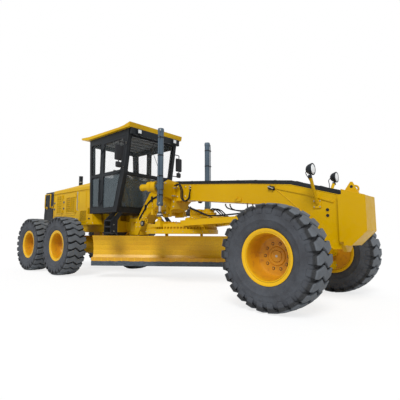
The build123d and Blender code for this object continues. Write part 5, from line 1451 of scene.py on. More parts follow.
for y in (-0.084, -0.036):
    fitting(gearbox, (1.182, y, 1.44), UP, 1)
    gearbox.hose([
        (1.182, y, 1.47), (1.208, y - 0.03, 1.486), (1.3, y - 0.11, 1.455), (1.48, y - 0.155, 1.4),
        (1.75, y - 0.15, 1.3), (2.0, y * 0.5 - 0.19, 1.285), (2.3, y * 0.4 - 0.13, 1.3),
        (2.54, y * 0.4 - 0.07, 1.322),
    ], 0.0125, 10, 3, 8)
for y in (-0.05, 0.0, 0.05):
    gearbox.hose([
        (1.7, y, 1.395), (1.76, y * 1.2, 1.425), (1.86, y * 1.6, 1.39), (2.05, y * 1.6, 1.262),
        (2.36, y * 1.2, 1.27), (2.56, y * 0.9, 1.312),
    ], 0.011, 10, 3, 8)
    fitting(gearbox, (1.645, y, 1.385), (1, 0, 0.2), 1, 0.9)
gearbox.done(
    "circle_drive_details", "drawbar", [yellow_paint, bright_bolt, cast_iron, rubber_hose], "yellow_paint",
    35,
)
print("circle drive ready")

# %% [markdown]
# ## Drawbar and circle
# The drawbar is a welded A-frame. Clamp strips hold its hoses, gussets stiffen the joint with
# the round plate, and four bolted shoes grip the rim of the circle from outside. The weld beads
# are thin rounded strips along the corners.

# %% Drawbar details
CIRCLE_X = 0.92
drawbar = Shape()
for side in (-1, 1):
    rear, front = Vector((1.35, side * 0.46, 1.152)), Vector((2.59, side * 0.075, 1.225))
    along = (front - rear).normalized()
    across = Vector(UP).cross(along).normalized()
    for share in (0.22, 0.42, 0.62, 0.82):
        middle = rear.lerp(front, share)
        corners = [
            middle + across * a + along * b
            for a, b in ((-0.062, -0.02), (0.062, -0.02), (0.062, 0.02), (-0.062, 0.02))
        ]
        rings = [[point + Vector((0, 0, lift)) for point in corners] for lift in (0.049, 0.061)]
        drawbar.skin(rings, 0)
        for a in (-0.046, 0.046):
            drawbar.bolt(middle + across * a + Vector((0, 0, 0.061)), UP, 0.009, 1)
    drawbar.hose([
        rear + across * side * 0.056 + Vector((0, 0, -0.049)),
        front + across * side * 0.056 + Vector((0, 0, -0.049)),
    ], 0.006, 8, 0, 2)
    gusset = [(1.08, side * 0.56), (1.08, side * 0.25), (1.3, side * 0.33), (1.3, side * 0.47)]
    drawbar.plate(rounded(gusset, 0.02), 1.14, 1.16, flat)
    for number in range(6):
        drawbar.bolt((0.975 + (number % 2) * 0.07, side * (0.1 + 0.2 * (number // 2)), 1.185), UP, 0.012, 1)
    collar = [(0.0265, 0), (0.052, 0.001), (0.056, 0.006), (0.056, 0.014), (0.034, 0.018), (0.0265, 0.024)]
    drawbar.ring((LIFT_X, side * LIFT_Y, 1.185), UP, collar, 28)
    drawbar.bolt_circle((LIFT_X, side * LIFT_Y, 1.1995), UP, 0.045, 6, 0.006)
for x, y, z in circle_points((CIRCLE_X, 0, 1.1403), UP, 0.6, 16, 0.5):
    behind_bars = abs(y) > 0.3 or x < CIRCLE_X
    if behind_bars and abs(x - LIFT_X) > 0.095:
        drawbar.bolt((x, y, z), UP, 0.013, 1)
for angle in (35, 145, 215, 325):
    a = math.radians(angle)
    out, along = Vector((math.cos(a), math.sin(a), 0)), Vector((-math.sin(a), math.cos(a), 0))
    middle = Vector((CIRCLE_X, 0, 0))
    shoe = [(0.64, -0.06), (0.702, -0.07), (0.702, 0.07), (0.64, 0.06)]
    rings = [[middle + out * r + along * s + Vector((0, 0, z)) for r, s in shoe] for z in (1.1403, 1.162)]
    drawbar.skin(rings, 0)
    for s in (-0.04, 0.0, 0.04):
        drawbar.bolt(middle + out * 0.672 + along * s + Vector((0, 0, 1.162)), UP, 0.01, 1)
for side in (-1, 1):
    for x, z in ((2.57, 1.27), (2.62, 1.262), (2.6, 1.195)):
        drawbar.bolt((x, side * 0.086, z), (0, side, 0), 0.01, 1)
    drawbar.ring((2.81, side * 0.0755, 1.24), (0, side, 0), [
        (0.035, 0), (0.034, 0.012), (0.026, 0.016), (0.0001, 0.017)
    ], 24, 1)
drawbar.done("drawbar_details", "drawbar", [yellow_paint, bright_bolt], "yellow_paint", 35)

circle_marks = Shape()
for x, y, z in circle_points((CIRCLE_X, 0, 1.0), UP, 0.7235, 24):
    circle_marks.bolt((x, y, z), (x - CIRCLE_X, y, 0), 0.009, 1)
circle_marks.ring((CIRCLE_X, 0, 0.96), UP, [
    (0.612, -0.0005), (0.64, -0.002), (0.7, -0.002), (0.72, -0.0005)
], 96)
circle_marks.done("circle_bolts", "circle", [yellow_paint, bright_bolt], "yellow_paint", 35)
print("drawbar ready")

# %% [markdown]
# ## Beam and nose
# The beam is a welded box: beads run along its corners, a rib turns down where the deep nose
# starts, and short pads show where brackets were welded on. Weld beads are slim rounded bars laid
# on the edges. On top, straps hold the hose cover, and at the nose stand a tie-down lug and a ring.

# %% Beam and nose details
def upright_ring(shape, centre, radius, count, thick):
    """A round bar bent into a ring that stands fore and aft."""
    angles = [2 * math.pi * number / count for number in range(count + 1)]
    ring = [centre + Vector((radius * math.cos(a), 0, radius * math.sin(a))) for a in angles]
    shape.hose(ring, thick, 10, 0, 1)


BEAM_TOP = [(-0.23, 1.4), (0.1, 1.84), (0.64, 1.975), (1.23, 1.92), (2.64, 1.79), (3.35, 1.71), (4.06, 1.5)]
BEAM_FOOT = [
    (4.06, 0.76), (3.96, 0.76), (2.82, 1.45), (2.23, 1.51), (1.18, 1.62), (0.64, 1.61), (0.33, 1.54),
    (0.07, 1.39),
]
beam = Shape()
for side in (-1, 1):
    y = side * 0.16
    for line in (BEAM_TOP, BEAM_FOOT):
        for start, end in zip(line, line[1:]):
            beam.bar((start[0], y, start[1]), (end[0], y, end[1]), 0.0055, 8)
    rib = [(3.08, 1.7), (3.6, 1.56), (3.99, 1.42), (3.99, 1.396), (3.59, 1.538), (3.075, 1.68)]
    beam.plate(rib, y, y + side * 0.014, upright)
    beam.hose([(3.08, y, 1.69), (3.3, y, 1.5), (3.56, y, 1.26), (3.75, y, 1.09)], 0.008, 8, 0, 4)
    for x, z in ((3.9, 1.3), (3.9, 1.22)):
        beam.ring((x, y, z), (0, side, 0), [(0.032, 0), (0.032, 0.004), (0.024, 0.004)], 24)
        beam.ring((x, y, z), (0, side, 0), [(0.024, 0.001), (0.0001, 0.001)], 24, 2)
    pad = rounded(oblong(2.33, 2.47, 1.512, 1.56), 0.012)
    beam.plate(pad, y, y + side * 0.022, upright)
    beam.plate(rounded(oblong(2.352, 2.392, 1.545, 1.585), 0.01), y, y + side * 0.034, upright)
    for x, z in ((3.02, 1.69), (3.075, 1.675)):
        beam.ring((x, y, z), (-0.2, side, 0.35), [
            (0.032, -0.012), (0.032, 0.03), (0.026, 0.036), (0.0001, 0.037)
        ], 18, 2)
    beam.bar((2.99, side * 0.19, 1.712), (3.09, side * 0.196, 1.668), 0.01, 10, 1)
    for x, z in ((0.94, 1.9), (0.94, 1.7), (1.16, 1.88), (1.16, 1.69)):
        beam.bolt((x, y, z), (0, side, 0), 0.013, 1)
    cover = [(0.995, 1.7), (1.12, 1.69), (1.12, 1.86), (0.995, 1.87)]
    beam.plate(rounded(cover, 0.015), y, y + side * 0.012, upright)
    for x in (0.3, 0.42, 0.54):
        beam.ring((x, y, 1.64 + (x - 0.3) * 0.3), (0, side, 0), [
            (0.03, 0), (0.03, 0.008), (0.018, 0.008), (0.018, 0.001), (0.0001, 0.001)
        ], 20)
    for x, z, length in ((-0.15, 1.29, 0.16), (0.02, 1.52, 0.2)):
        beam.plate(rounded(oblong(x, x + length, z, z + 0.09), 0.012), y, y + side * 0.01, upright)
        for dx in (0.018, length - 0.018):
            for dz in (0.018, 0.072):
                beam.bolt((x + dx, y + side * 0.01, z + dz), (0, side, 0), 0.008, 1)
for number in range(9):
    share = (number + 0.6) / 9.2
    x = 0.7 + share * 3.3
    for (x0, z0), (x1, z1) in zip(BEAM_TOP, BEAM_TOP[1:]):
        if x0 <= x <= x1:
            z = z0 + (z1 - z0) * (x - x0) / (x1 - x0)
    beam.box((x - 0.018, -0.1065, z + 0.004), (x + 0.018, 0.1065, z + 0.0775), 2)
lug = [(4.14, 1.548), (4.32, 1.494), (4.3, 1.54), (4.24, 1.668), (4.215, 1.668), (4.15, 1.575)]
beam.plate(lug, -0.15, -0.122, upright)
for side in (-1, 1):
    beam.ring(
        (4.228, -0.136 + side * 0.0145, 1.6), (0, side, 0), [(0.02, 0), (0.02, 0.001), (0.0001, 0.001)], 20,
        2,
    )
ring_at = Vector((4.195, 0.115, 1.6))
upright_ring(beam, ring_at, 0.045, 28, 0.014)
beam.plate(rounded(oblong(4.15, 4.24, 1.5, 1.562), 0.01), 0.09, 0.14, upright)
block_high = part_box("front_block")[1]
for side in (-1, 1):
    edge = [
        (4.112, side * block_high[1], 1.57), (4.41, side * block_high[1], 1.47),
        (4.41, side * block_high[1], 1.01), (4.21, side * block_high[1], 0.81),
    ]
    for start, end in zip(edge, edge[1:]):
        beam.bar((
            start[0] - 0.006, start[1] - side * 0.004, start[2] - 0.003
        ), (end[0] - 0.006, end[1] - side * 0.004, end[2]), 0.0055, 8)
beam.done(
    "beam_details", "front_machine", [yellow_paint, bright_bolt, black_paint, chassis_paint],
    "yellow_paint", 35,
)
print("beam ready")

# %% [markdown]
# ## Beam hoses
# Two pressure hoses leave the underside of the beam, hang in a short loop and go back into it.
# Two more run up each side of the gooseneck under clamp strips. All end in crimped fittings, so
# they are plain bent tubes that ride with the beam, not free cords.

# %% Beam hoses
hoses = Shape()
for number, y in enumerate((-0.06, 0.06)):
    x = 2.52 + 0.03 * (number % 2)
    fitting(hoses, (x, y, 1.482), (0, 0, -1), 1, 0.9)
    sag = 1.36 - 0.012 * (number % 3)
    hoses.hose([
        (x, y, 1.44), (x - 0.004, y, 1.4), (x - 0.08, y, sag), (x - 0.26, y * 0.9, sag + 0.015),
        (x - 0.42, y * 0.8, sag + 0.06), (x - 0.47, y * 0.8, 1.47),
    ], 0.0115, 10, 0, 7)
    fitting(hoses, (x - 0.47, y * 0.8, 1.502), (0, 0, -1), 1, 0.9)
for side in (-1, 1):
    y = side * 0.172
    for z in (0.0, 0.03):
        hoses.hose([
            (-0.235, y, 1.27 + z), (-0.12, y, 1.4 + z), (0.06, y, 1.61 + z * 0.8),
            (0.26, y, 1.715 + z * 0.6), (0.52, y, 1.76 + z * 0.5),
        ], 0.011, 10, 0, 6)
        fitting(hoses, (0.512, y, 1.758 + z * 0.5), (-1, 0, -0.15), 1, 0.8)
    for x, z in ((-0.03, 1.535), (0.18, 1.7), (0.4, 1.765)):
        hoses.plate(
            rounded(oblong(x - 0.016, x + 0.016, z - 0.06, z + 0.06), 0.006), side * 0.158, side * 0.188,
            upright, 2,
        )
hoses.done("beam_hoses", "front_machine", [rubber_hose, bright_bolt, black_paint], "black_paint", 35)
print("beam hoses ready")

# %% [markdown]
# ## Engine doors
# Each grille is a row of pressed louvres whose blades lean outwards to shed rain, over a dark
# backing. Round latches with a slot close the doors, and a raised line follows their edges.
# Blades are thin slanted plates, fifteen to a grille, and ride with the door.

# %% Louvres, latches and lockers
HOOD_Y = 0.5
GRILLES = {"rear": (-3.5, -3.23, 1.52, 2.01), "mid": (-2.96, -2.5, 1.52, 1.93)}
DOOR_EDGES = {"rear": (-3.684, -3.186), "mid": (-3.144, -2.466)}
for word, (x0, x1, z0, z1) in GRILLES.items():
    for side, hand in ((-1, "right"), (1, "left")):
        y = side * HOOD_Y
        louvres = Shape()
        blades = 15
        pitch = (z1 - z0) / blades
        for number in range(blades):
            z = z0 + number * pitch
            leaf = [
                (y - side * 0.004, z + pitch * 0.1), (y + side * 0.012, z + pitch * 0.02),
                (y + side * 0.013, z + pitch * 0.16), (y - side * 0.002, z + pitch * 0.8),
                (y - side * 0.006, z + pitch * 0.8),
            ]
            louvres.plate(leaf, x0 + 0.008, x1 - 0.008, crosswise)
        outer = rounded(oblong(x0 - 0.022, x1 + 0.022, z0 - 0.022, z1 + 0.012), 0.02)
        inner = rounded(oblong(x0 + 0.004, x1 - 0.004, z0 + 0.002, z1 - 0.01), 0.014)
        low, high = sorted((y, y + side * 0.009))
        rim_of(louvres, outer, inner, low, high, upright)
        louvres.plate(
            oblong(x0 - 0.005, x1 + 0.005, z0 - 0.005, z1), y - side * 0.034, y - side * 0.031, upright, 2
        )
        louvres.plate(
            oblong(x0 + (x1 - x0) * 0.49, x0 + (x1 - x0) * 0.51, z0, z1), y - side * 0.006,
            y + side * 0.012, upright,
        )
        rear, front = DOOR_EDGES[word]
        for z in (1.64, 1.81):
            latch = [(0.03, 0), (0.03, 0.0035), (0.0235, 0.0155), (0.019, 0.0185), (0.0001, 0.019)]
            louvres.ring((rear + 0.044, y, z), (0, side, 0), latch, 24, 3)
            louvres.plate(
                rounded(oblong(rear + 0.028, rear + 0.06, z - 0.004, z + 0.004), 0.002), y + side * 0.018,
                y + side * 0.022, upright, 2,
            )
        panel_line(louvres, rear + 0.016, front - 0.016, 1.44, 2.04, y, side * 0.004)
        louvres.done(
            f"louvres_{word}_{hand}", f"hood_door_{word}_{hand}",
            [yellow_paint, bright_bolt, black_paint, barrel_paint], "yellow_paint", 30,
        )
print("louvres ready")

# %% [markdown]
# ## Hood, lockers and rails
# The hood has rain gutters over the doors, bolted panels, an upright bright strip and round grab
# loops at the rear. On top stand the exhaust's clamp and rolled rim and two filler caps. The
# lockers beside the frame have a mesh window, bolts and a latch. The mesh is crossed thin bars,
# coarse enough to model and to keep its shadow.

# %% Hood, lockers and rails
shell = Shape()
for side in (-1, 1):
    y = side * HOOD_Y
    shell.plate([
        (y, 2.075), (y + side * 0.016, 2.07), (y + side * 0.016, 2.078), (y, 2.09)
    ], -3.69, -1.56, crosswise)
    shell.plate(rounded(oblong(-2.398, -2.366, 1.56, 2.05), 0.01), y, y + side * 0.008, upright, 1)
    for x in (-2.33, -1.58):
        for z in (1.34, 1.56, 1.78, 2.0):
            shell.bolt((x, y, z), (0, side, 0), 0.01, 1)
    for x0, x1 in ((-2.3, -1.96), (-1.93, -1.6)):
        panel_line(shell, x0, x1, 1.6, 2.04, y, side * 0.005)
    for x in (-3.6, -3.3, -3.0, -2.7, -2.42):
        shell.bolt((x, y, 1.345), (0, side, 0), 0.01, 1)
    loop = [
        (-3.79, side * 0.5, 1.7), (-3.79, side * 0.545, 1.7), (-3.79, side * 0.56, 1.735),
        (-3.79, side * 0.56, 2.045), (-3.825, side * 0.56, 2.08), (-4.095, side * 0.56, 2.08),
        (-4.13, side * 0.56, 2.045), (-4.13, side * 0.56, 1.735), (-4.13, side * 0.545, 1.7),
        (-4.13, side * 0.5, 1.7),
    ]
    handle = Shape()
    handle.hose(loop, 0.0155, 14, 0, 6)
    for x in (-3.79, -4.13):
        handle.ring(
            (x, side * 0.5, 1.7), (0, side, 0), [(0.042, 0), (0.042, 0.006), (0.026, 0.009), (0.02, 0.02)],
            24,
        )
        handle.bolt_circle((x, side * 0.506, 1.7), (0, side, 0), 0.032, 4, 0.006, 0.5)
    rail = handle.done(
        f"grab_rail_{'right' if side < 0 else 'left'}", "rear_machine", [yellow_paint, bright_bolt],
        "yellow_paint", 40,
    )
    if side > 0:
        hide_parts("handrails")
    box_y = side * 0.75
    panel_line(shell, -1.8, -1.48, 1.235, 1.52, box_y, side * 0.01, (0.02, 0.014), 0.018)
    shell.plate(oblong(-1.785, -1.495, 1.25, 1.505), box_y - side * 0.0005, box_y + side * 0.001, upright, 2)
    for number in range(13):
        x = -1.772 + number * 0.0225
        shell.bar((x, box_y + side * 0.005, 1.252), (x, box_y + side * 0.005, 1.503), 0.0034, 6)
    for number in range(11):
        z = 1.264 + number * 0.023
        shell.bar((-1.784, box_y + side * 0.007, z), (-1.496, box_y + side * 0.007, z), 0.0034, 6)
    panel_line(shell, -1.44, -1.22, 1.19, 1.39, box_y, side * 0.005, (0.015, 0.012))
    shell.plate(rounded(oblong(-1.4, -1.33, 1.29, 1.32), 0.01), box_y, box_y + side * 0.012, upright, 2)
    for x in (-1.83, -1.46, -1.21):
        shell.bolt((x, box_y, 1.2), (0, side, 0), 0.009, 1)
pipe_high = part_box("exhaust")[1]
shell.ring((-3.13, 0, pipe_high[2] - 0.19), UP, collar_line(0.0555, 0.062, 0.026), 28, 1)
shell.ring((-3.13, 0, pipe_high[2] - 0.001), UP, [
    (0.0555, -0.012), (0.06, -0.01), (0.06, -0.001), (0.05, 0.0), (0.047, -0.004)
], 28, 2)
shell.box((-3.066, -0.012, pipe_high[2] - 0.185), (-3.03, 0.012, pipe_high[2] - 0.17), 1)
shell.ring((-1.9, 0.25, 2.243), UP, [
    (0.06, -0.02), (0.06, 0.03), (0.075, 0.034), (0.075, 0.06), (0.055, 0.075), (0.0001, 0.078)
], 28, 2)
shell.ring((-2.75, -0.22, 2.205), UP, [
    (0.035, -0.02), (0.035, 0.02), (0.045, 0.022), (0.045, 0.04), (0.0001, 0.044)
], 24, 1)
shell.done("hood_details", "rear_machine", [yellow_paint, bright_bolt, black_paint], "yellow_paint", 30)
print("hood ready")

# %% [markdown]
# ## Blade
# The cutting edge is bolted on from the front with two rows of flush plough bolts. It is painted
# where it meets the blade and worn to dark steel along its foot. Behind, short upright ribs are
# welded on near the slide rails. The top edge is rolled for stiffness. Everything is laid in the
# blade's own directions: along it, out of it and up.

# %% Blade details
BLADE_TURN = math.radians(40)
BLADE_L, BLADE_FOOT, BLADE_H, BLADE_SAG, BLADE_T = 3.25, 0.29, 0.625, 0.12, 0.022


def on_blade(along, out, up):
    """A point in the blade's own directions."""
    x = -0.96 + along * math.cos(BLADE_TURN) + out * math.sin(BLADE_TURN)
    y = -0.9 + along * math.sin(BLADE_TURN) - out * math.cos(BLADE_TURN)
    return (x, y, up)


BLADE_OUT = Vector((math.sin(BLADE_TURN), -math.cos(BLADE_TURN), 0))
blade = Shape()
for number in range(22):
    along = 0.075 + number * (BLADE_L - 0.15) / 21
    for up in (0.388, 0.424):
        head = [(0.0001, 0.0012), (0.011, 0.0012), (0.0135, 0.003), (0.0135, -0.004)]
        blade.ring(on_blade(along, 0.0192, up), BLADE_OUT, head, 14)
blade.bar(on_blade(0, -0.005, 0.4435), on_blade(BLADE_L, -0.005, 0.4435), 0.0055, 8)
top_z = BLADE_FOOT + BLADE_H - 0.014
blade.bar(on_blade(0.002, -0.02, top_z), on_blade(BLADE_L - 0.002, -0.02, top_z), 0.013, 12)
for along in (0.008, BLADE_L - 0.008):
    for number in range(6):
        low, high = number / 6, (number + 1) / 6
        sag_low = BLADE_SAG * (1 - (2 * low - 1) ** 2) + BLADE_T - 0.009
        sag_high = BLADE_SAG * (1 - (2 * high - 1) ** 2) + BLADE_T - 0.009
        blade.bar(
            on_blade(along, -sag_low, BLADE_FOOT + BLADE_H * low),
            on_blade(along, -sag_high, BLADE_FOOT + BLADE_H * high), 0.006, 8,
        )
for number in range(7):
    along = 0.42 + number * 0.4
    rib = [(-0.128, 0.5), (-0.148, 0.5), (-0.148, 0.64), (-0.128, 0.64)]
    rings = [[on_blade(along + step, out, up) for out, up in rib] for step in (0, 0.014)]
    blade.skin(rings, 0)
blade.done("blade_details", "blade", [blade_paint, edge_steel], "yellow_paint", 35)

cradle = Shape()
middle = 1.88 * math.cos(BLADE_TURN) + 0.9 * math.sin(BLADE_TURN)
for start in (middle - 0.56, middle + 0.44):
    for step in (0.028, 0.092):
        for up in (0.52, 0.575, 0.63):
            cradle.bolt(on_blade(start + step, -0.24, up), -BLADE_OUT, 0.011, 1)
for along in (middle - 0.552, middle + 0.552):
    facing = -1 if along < middle else 1
    turn_axis = Vector(on_blade(facing, 0, 0)) - Vector(on_blade(0, 0, 0))
    cradle.ring(on_blade(along, -0.255, 0.47), turn_axis, [
        (0.0405, -0.012), (0.0445, -0.01), (0.0445, 0.006), (0.03, 0.0075), (0.0001, 0.0078)
    ], 28, 1)
axis = Vector(on_blade(1, 0, 0)) - Vector(on_blade(0, 0, 0))
for along in (middle - 0.3, middle - 0.1, middle + 0.1):
    cradle.ring(on_blade(along, -0.255, 0.47), axis, collar_line(0.0405, 0.05, 0.032), 28)
cradle.done("cradle_details", "blade_carrier", [yellow_paint, bright_bolt], "yellow_paint", 35)
print("blade ready")

# %% [markdown]
# ## Access steps
# The treads are pressed grip plates: rows of raised holes give the boot a hold when it is muddy.
# The side plates are edged with a thin round strip, which slants up to the door.

# %% Step details
grips = Shape()
for side in (-1, 1):
    outer = side * 0.89
    for level in (0.988, 1.1165, 1.245):
        for column in range(6):
            for row in range(4):
                at = (-0.49 + column * 0.036, side * (0.755 + row * 0.036), level)
                grips.ring(at, UP, [(0.0125, 0), (0.0095, 0.004), (0.006, 0.0042), (0.0055, 0.0005)], 10)
    for x in (-0.518, -0.282):
        grips.bar((x, outer, 0.964), (x, outer, 1.24), 0.0065, 8)
        grips.bar((x, outer, 1.235), (x, side * 0.7, 1.412), 0.0065, 8)
        facing = 1 if x > -0.4 else -1
        for z in (1.01, 1.14):
            grips.bolt((x + facing * 0.012, side * 0.82, z), (facing, 0, 0), 0.008, 1)
grips.done("step_grips", "rear_machine", [black_paint, bright_bolt], "black_paint", 35)
print("steps ready")

# %% [markdown]
# ## Axles
# Planetary hubs, breathers and drain plugs mark the tandem cases. The front axle carries grease
# points and a bolted cap on its rocking pin. The rear axle's drum has a ring of bolts on each
# side. All are turned forms with bolts, placed from the wheel centres.

# %% Axle details
AXLE_X, AXLE_Z = -2.68, 0.675
FRONT_X, BOX_FACE = 3.54, 0.095
axles = Shape()
for side in (-1, 1):
    face = side * 0.835
    outline = rounded(oblong(-2.755, -2.605, 0.555, 0.795), 0.04)
    axles.plate(outline, face, face + side * 0.008, upright)
    for x in (-2.742, -2.618):
        for number in range(5):
            axles.bolt((x, face + side * 0.008, 0.585 + number * 0.045), (0, side, 0), 0.007, 1)
    for x in (-1.91, -3.45):
        axles.ring((x, side * 0.838, AXLE_Z), (0, side, 0), [
            (0.1105, 0), (0.138, 0.002), (0.138, 0.014), (0.1105, 0.018)
        ], 40)
        axles.bolt_circle((x, side * 0.853, AXLE_Z), (0, side, 0), 0.125, 12, 0.0075)
    axles.ring((AXLE_X, side * 0.742, 0.825), UP, [
        (0.045, 0), (0.045, 0.008), (0.022, 0.01), (0.022, 0.032), (0.028, 0.034), (0.028, 0.048),
        (0.0001, 0.052),
    ], 20, 1)
    for x in (-2.2, -3.16):
        axles.ring((x, side * 0.742, 0.5255), (0, 0, -1), [(0.02, 0), (0.02, 0.01), (0.0001, 0.012)], 6, 1)
    axles.ring((AXLE_X, side * 0.19, AXLE_Z), (0, side, 0), [
        (0.235, -0.01), (0.245, -0.006), (0.245, 0.01), (0.2, 0.014), (0.165, 0.06), (0.1205, 0.075)
    ], 48)
    axles.bolt_circle((AXLE_X, side * 0.203, AXLE_Z), (0, side, 0), 0.222, 16, 0.009)
    axles.ring(
        (AXLE_X, side * 0.56, AXLE_Z), (0, side, 0),
        [(0.1205, 0), (0.15, 0.01), (0.15, 0.085), (0.1205, 0.088)], 40,
    )
axles.done("axle_details", "rear_machine", [yellow_paint, bright_bolt], "yellow_paint", 35)

front_axle = Shape()
for facing in (-1, 1):
    at = (FRONT_X + facing * (BOX_FACE + 0.0006), 0, 0.69)
    front_axle.ring(at, (facing, 0, 0), [(0.046, 0), (0.09, 0.001), (0.09, 0.014), (0.046, 0.017)], 32)
    front_axle.bolt_circle((at[0] + facing * 0.014, 0, 0.69), (facing, 0, 0), 0.072, 8, 0.007)
    for side in (-1, 1):
        front_axle.ring(
            (FRONT_X + facing * (BOX_FACE + 0.0004), side * 0.78, 0.47), (facing, 0, 0),
            [(0.044, 0), (0.044, 0.006), (0.03, 0.01), (0.0001, 0.01)], 24,
        )
        front_axle.ring(
            (FRONT_X + facing * (BOX_FACE + 0.009), side * 0.78, 0.47), (facing, 0, 0),
            [(0.008, 0), (0.008, 0.01), (0.005, 0.016), (0.0001, 0.017)], 10, 1,
        )
        rib = [(side * 0.13, 0.56), (side * 0.52, 0.48), (side * 0.52, 0.53), (side * 0.13, 0.64)]
        front_axle.plate(rib, FRONT_X + facing * BOX_FACE, FRONT_X + facing * (BOX_FACE + 0.011), crosswise)
front_axle.done("front_axle_details", "front_machine", [yellow_paint, bright_bolt], "yellow_paint", 35)
print("axles ready")

# %% [markdown]
# ## Tail
# Behind the radiator, upright mesh bars cover the slatted grille, with three short round hinges at
# each side of it. Below are a pair of tail lamps, each with a red and a clear half, and the flush
# bolts of the bumper. The mesh is modelled as thin bars, because it has to keep its shadow.

# %% Tail
tail = Shape()
for number in range(25):
    y = -0.36 + number * 0.03
    tail.bar((-4.184, y, 1.57), (-4.184, y, 2.03), 0.003, 6, 2)
for side in (-1, 1):
    lamp = rounded(oblong(side * 0.445 - 0.036, side * 0.445 + 0.036, 1.445, 1.535), 0.012)
    tail.plate(lamp, -4.33, -4.289, crosswise, 2)
    tail.plate(
        rounded(oblong(side * 0.445 - 0.03, side * 0.445 + 0.03, 1.492, 1.53), 0.008), -4.336, -4.329,
        crosswise, 3,
    )
    tail.plate(
        rounded(oblong(side * 0.445 - 0.03, side * 0.445 + 0.03, 1.45, 1.487), 0.008), -4.336, -4.329,
        crosswise, 4,
    )
    for z in (1.25, 1.385):
        for y in (0.15, 0.39):
            tail.ring(
                (-4.4085, side * y, z), (-1, 0, 0), [(0.013, 0), (0.013, 0.001), (0.0001, 0.0012)], 12, 1
            )
    for z in (1.64, 1.8, 1.96):
        tail.bar((-4.195, side * 0.5, z - 0.03), (-4.195, side * 0.5, z + 0.03), 0.01, 10)
    for x, z in ((-4.05, 1.3), (-3.76, 1.3), (-3.76, 2.1), (-4.05, 2.11)):
        tail.bolt((x, side * 0.5, z), (0, side, 0), 0.01, 1)
    panel_line(tail, -4.18, -3.75, 1.33, 1.64, side * HOOD_Y, side * 0.005)
tail.ring((-3.9, 0.2, 2.15), UP, [
    (0.06, 0), (0.06, 0.012), (0.045, 0.018), (0.045, 0.034), (0.0001, 0.036)
], 28, 2)
tail.done("tail_details", "rear_machine", [
    black_paint, bright_bolt, chassis_paint, red_lens, lamp_lens
], "black_paint", 35)
print("tail ready")

# %% [markdown]
# ## Engine
# With a side door open, the engine shows: a cast block with two rocker covers over a sump, a
# manifold with its turbocharger, filter canisters, a fan in its shroud and the cooler behind it.
# It fills the space of the plain block that holds its place, and it is built of turned and boxed
# forms with bolts.

# %% Engine
motor = Shape()
motor.plate(rounded(oblong(-3.18, -2.42, -0.2, 0.2), 0.03), 1.4, 1.72, flat)
motor.plate(rounded(oblong(-3.14, -2.46, -0.16, 0.16), 0.03), 1.28, 1.4, flat, 2)
motor.plate(rounded(oblong(-3.16, -2.44, -0.17, 0.17), 0.03), 1.72, 1.8, flat)
for x0, x1 in ((-3.14, -2.815), (-2.785, -2.46)):
    motor.plate(rounded(oblong(x0, x1, -0.12, 0.12), 0.03), 1.8, 1.872, flat, 1)
    for x in (x0 + 0.05, x1 - 0.05):
        for y in (-0.06, 0.06):
            motor.bolt((x, y, 1.872), UP, 0.01, 3)
for number in range(6):
    x = -3.09 + number * 0.122
    motor.hose([(x, 0.165, 1.75), (x, 0.225, 1.75), (x + 0.02, 0.245, 1.7)], 0.024, 12, 4, 5)
    motor.box((x - 0.03, -0.222, 1.5), (x + 0.03, -0.198, 1.68), 0)
    motor.bolt((x, -0.222, 1.59), (0, -1, 0), 0.009, 3)
motor.hose([(-3.12, 0.25, 1.69), (-2.86, 0.254, 1.685), (-2.45, 0.25, 1.69)], 0.034, 14, 4, 6)
motor.turned((-2.9, 0.185, 1.87), AHEAD, [
    (0.03, 0), (0.075, 0.01), (0.085, 0.04), (0.075, 0.07), (0.045, 0.085), (0.045, 0.12)
], 28, 4)
motor.ring((-2.7, -0.08, 1.905), AHEAD, [
    (0.0001, 0), (0.066, 0.004), (0.07, 0.012), (0.07, 0.24), (0.062, 0.25), (0.0001, 0.252)
], 32, 2)
for x in (-3.02, -2.88):
    motor.ring((x, -0.245, 1.4), UP, [
        (0.0001, 0), (0.04, 0.004), (0.042, 0.012), (0.042, 0.15), (0.046, 0.154), (0.046, 0.17),
        (0.0001, 0.172),
    ], 28, 1)
motor.ring((-3.28, 0, 1.62), AHEAD, [
    (0.28, 0), (0.286, 0.004), (0.286, 0.1), (0.268, 0.104), (0.268, 0.004), (0.28, 0)
], 48, 2)
for number in range(9):
    a = 2 * math.pi * number / 9
    tip_a = a + 0.42
    blade_points = []
    for radius, turn, x in (
        (0.05, a, -3.262), (0.255, a, -3.268), (0.255, tip_a, -3.214), (0.05, a + 0.75, -3.224)
    ):
        blade_points.append((x, radius * math.cos(turn), 1.62 + radius * math.sin(turn)))
    motor.skin([blade_points, [(x + 0.006, y, z) for x, y, z in blade_points]], 2)
motor.turned((-3.275, 0, 1.62), AHEAD, [(0.0001, 0), (0.055, 0.004), (0.06, 0.012), (0.06, 0.09)], 28, 1)
motor.box((-3.445, -0.285, 1.33), (-3.33, 0.285, 1.95), 2)
for number in range(30):
    z = 1.345 + number * 0.0205
    motor.box((-3.328, -0.275, z), (-3.316, 0.275, z + 0.006), 4)
motor.ring((-2.42, 0, 1.56), AHEAD, [
    (0.2, 0), (0.21, 0.01), (0.21, 0.12), (0.16, 0.165), (0.0001, 0.168)
], 40)
motor.hose([
    (-3.2, -0.15, 1.85), (-3.08, -0.23, 1.88), (-2.78, -0.23, 1.86), (-2.5, -0.18, 1.8), (-2.38, -0.1, 1.7)
], 0.018, 12, 5, 7)
for y in (-0.24, 0.24):
    motor.box((-3.1, y - 0.03, 1.276), (-3.0, y + 0.03, 1.42), 0)
    motor.box((-2.6, y - 0.03, 1.276), (-2.5, y + 0.03, 1.42), 0)
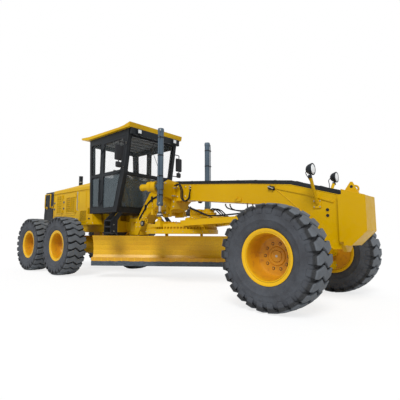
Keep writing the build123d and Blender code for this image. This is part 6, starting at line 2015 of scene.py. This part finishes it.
engine_piece = motor.done("engine_assembly", "rear_machine", [
    cast_iron, chassis_paint, black_paint, bright_bolt, barrel_paint, rubber_hose
], "cast_grey", 35)
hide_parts("engine")
print("engine", len(engine_piece.data.polygons))

# %% [markdown]
# ## Hinge of the frames
# The front frame bends against the rear one on a thick upright pin. Bolted caps hold the pin in
# its two lugs, each with a grease nipple. Beside it the frame carries a round breather with a
# silver cap, a lifting eye, and inspection plates. The caps are turned rings, as on a lathe.

# %% Hinge details
PIN_X, LUG_TOP, LUG_FOOT = -0.61, 1.307, 0.933
hinge = Shape()
for level, facing in ((LUG_TOP, 1), (LUG_FOOT, -1)):
    hinge.ring((PIN_X, 0, level), (0, 0, facing), [
        (0.0605, 0), (0.116, 0.001), (0.116, 0.012), (0.0605, 0.0145)
    ], 40)
    hinge.bolt_circle((PIN_X, 0, level + facing * 0.0125), (0, 0, facing), 0.09, 8, 0.01, 0.5)
    hinge.ring((PIN_X, 0, level + facing * 0.0178), (0, 0, facing), [
        (0.044, 0), (0.044, 0.005), (0.01, 0.006), (0.01, 0.014), (0.006, 0.018), (0.0001, 0.019)
    ], 24, 1)
for side in (-1, 1):
    face = side * 0.16
    hinge.ring(
        (-0.13, face, 1.185), (0, side, 0), [(0.062, 0), (0.062, 0.02), (0.052, 0.026), (0.04, 0.026)], 28,
        2,
    )
    hinge.ring((-0.13, face, 1.185), (0, side, 0), [
        (0.04, 0.024), (0.04, 0.036), (0.03, 0.042), (0.0001, 0.043)
    ], 28, 1)
    inspection = rounded(oblong(-0.35, -0.215, 1.1, 1.225), 0.025)
    hinge.plate(inspection, face, face + side * 0.008, upright)
    for x in (-0.335, -0.23):
        for z in (1.115, 1.21):
            hinge.bolt((x, face + side * 0.008, z), (0, side, 0), 0.009, 1)
    eye = Vector((0.03, face + side * 0.02, 1.235))
    upright_ring(hinge, eye, 0.034, 24, 0.011)
    hinge.plate(rounded(oblong(0.01, 0.05, 1.18, 1.215), 0.008), face, face + side * 0.034, upright)
hinge.done("hinge_details", "front_machine", [yellow_paint, bright_bolt, black_paint], "yellow_paint", 35)
print("hinge ready")
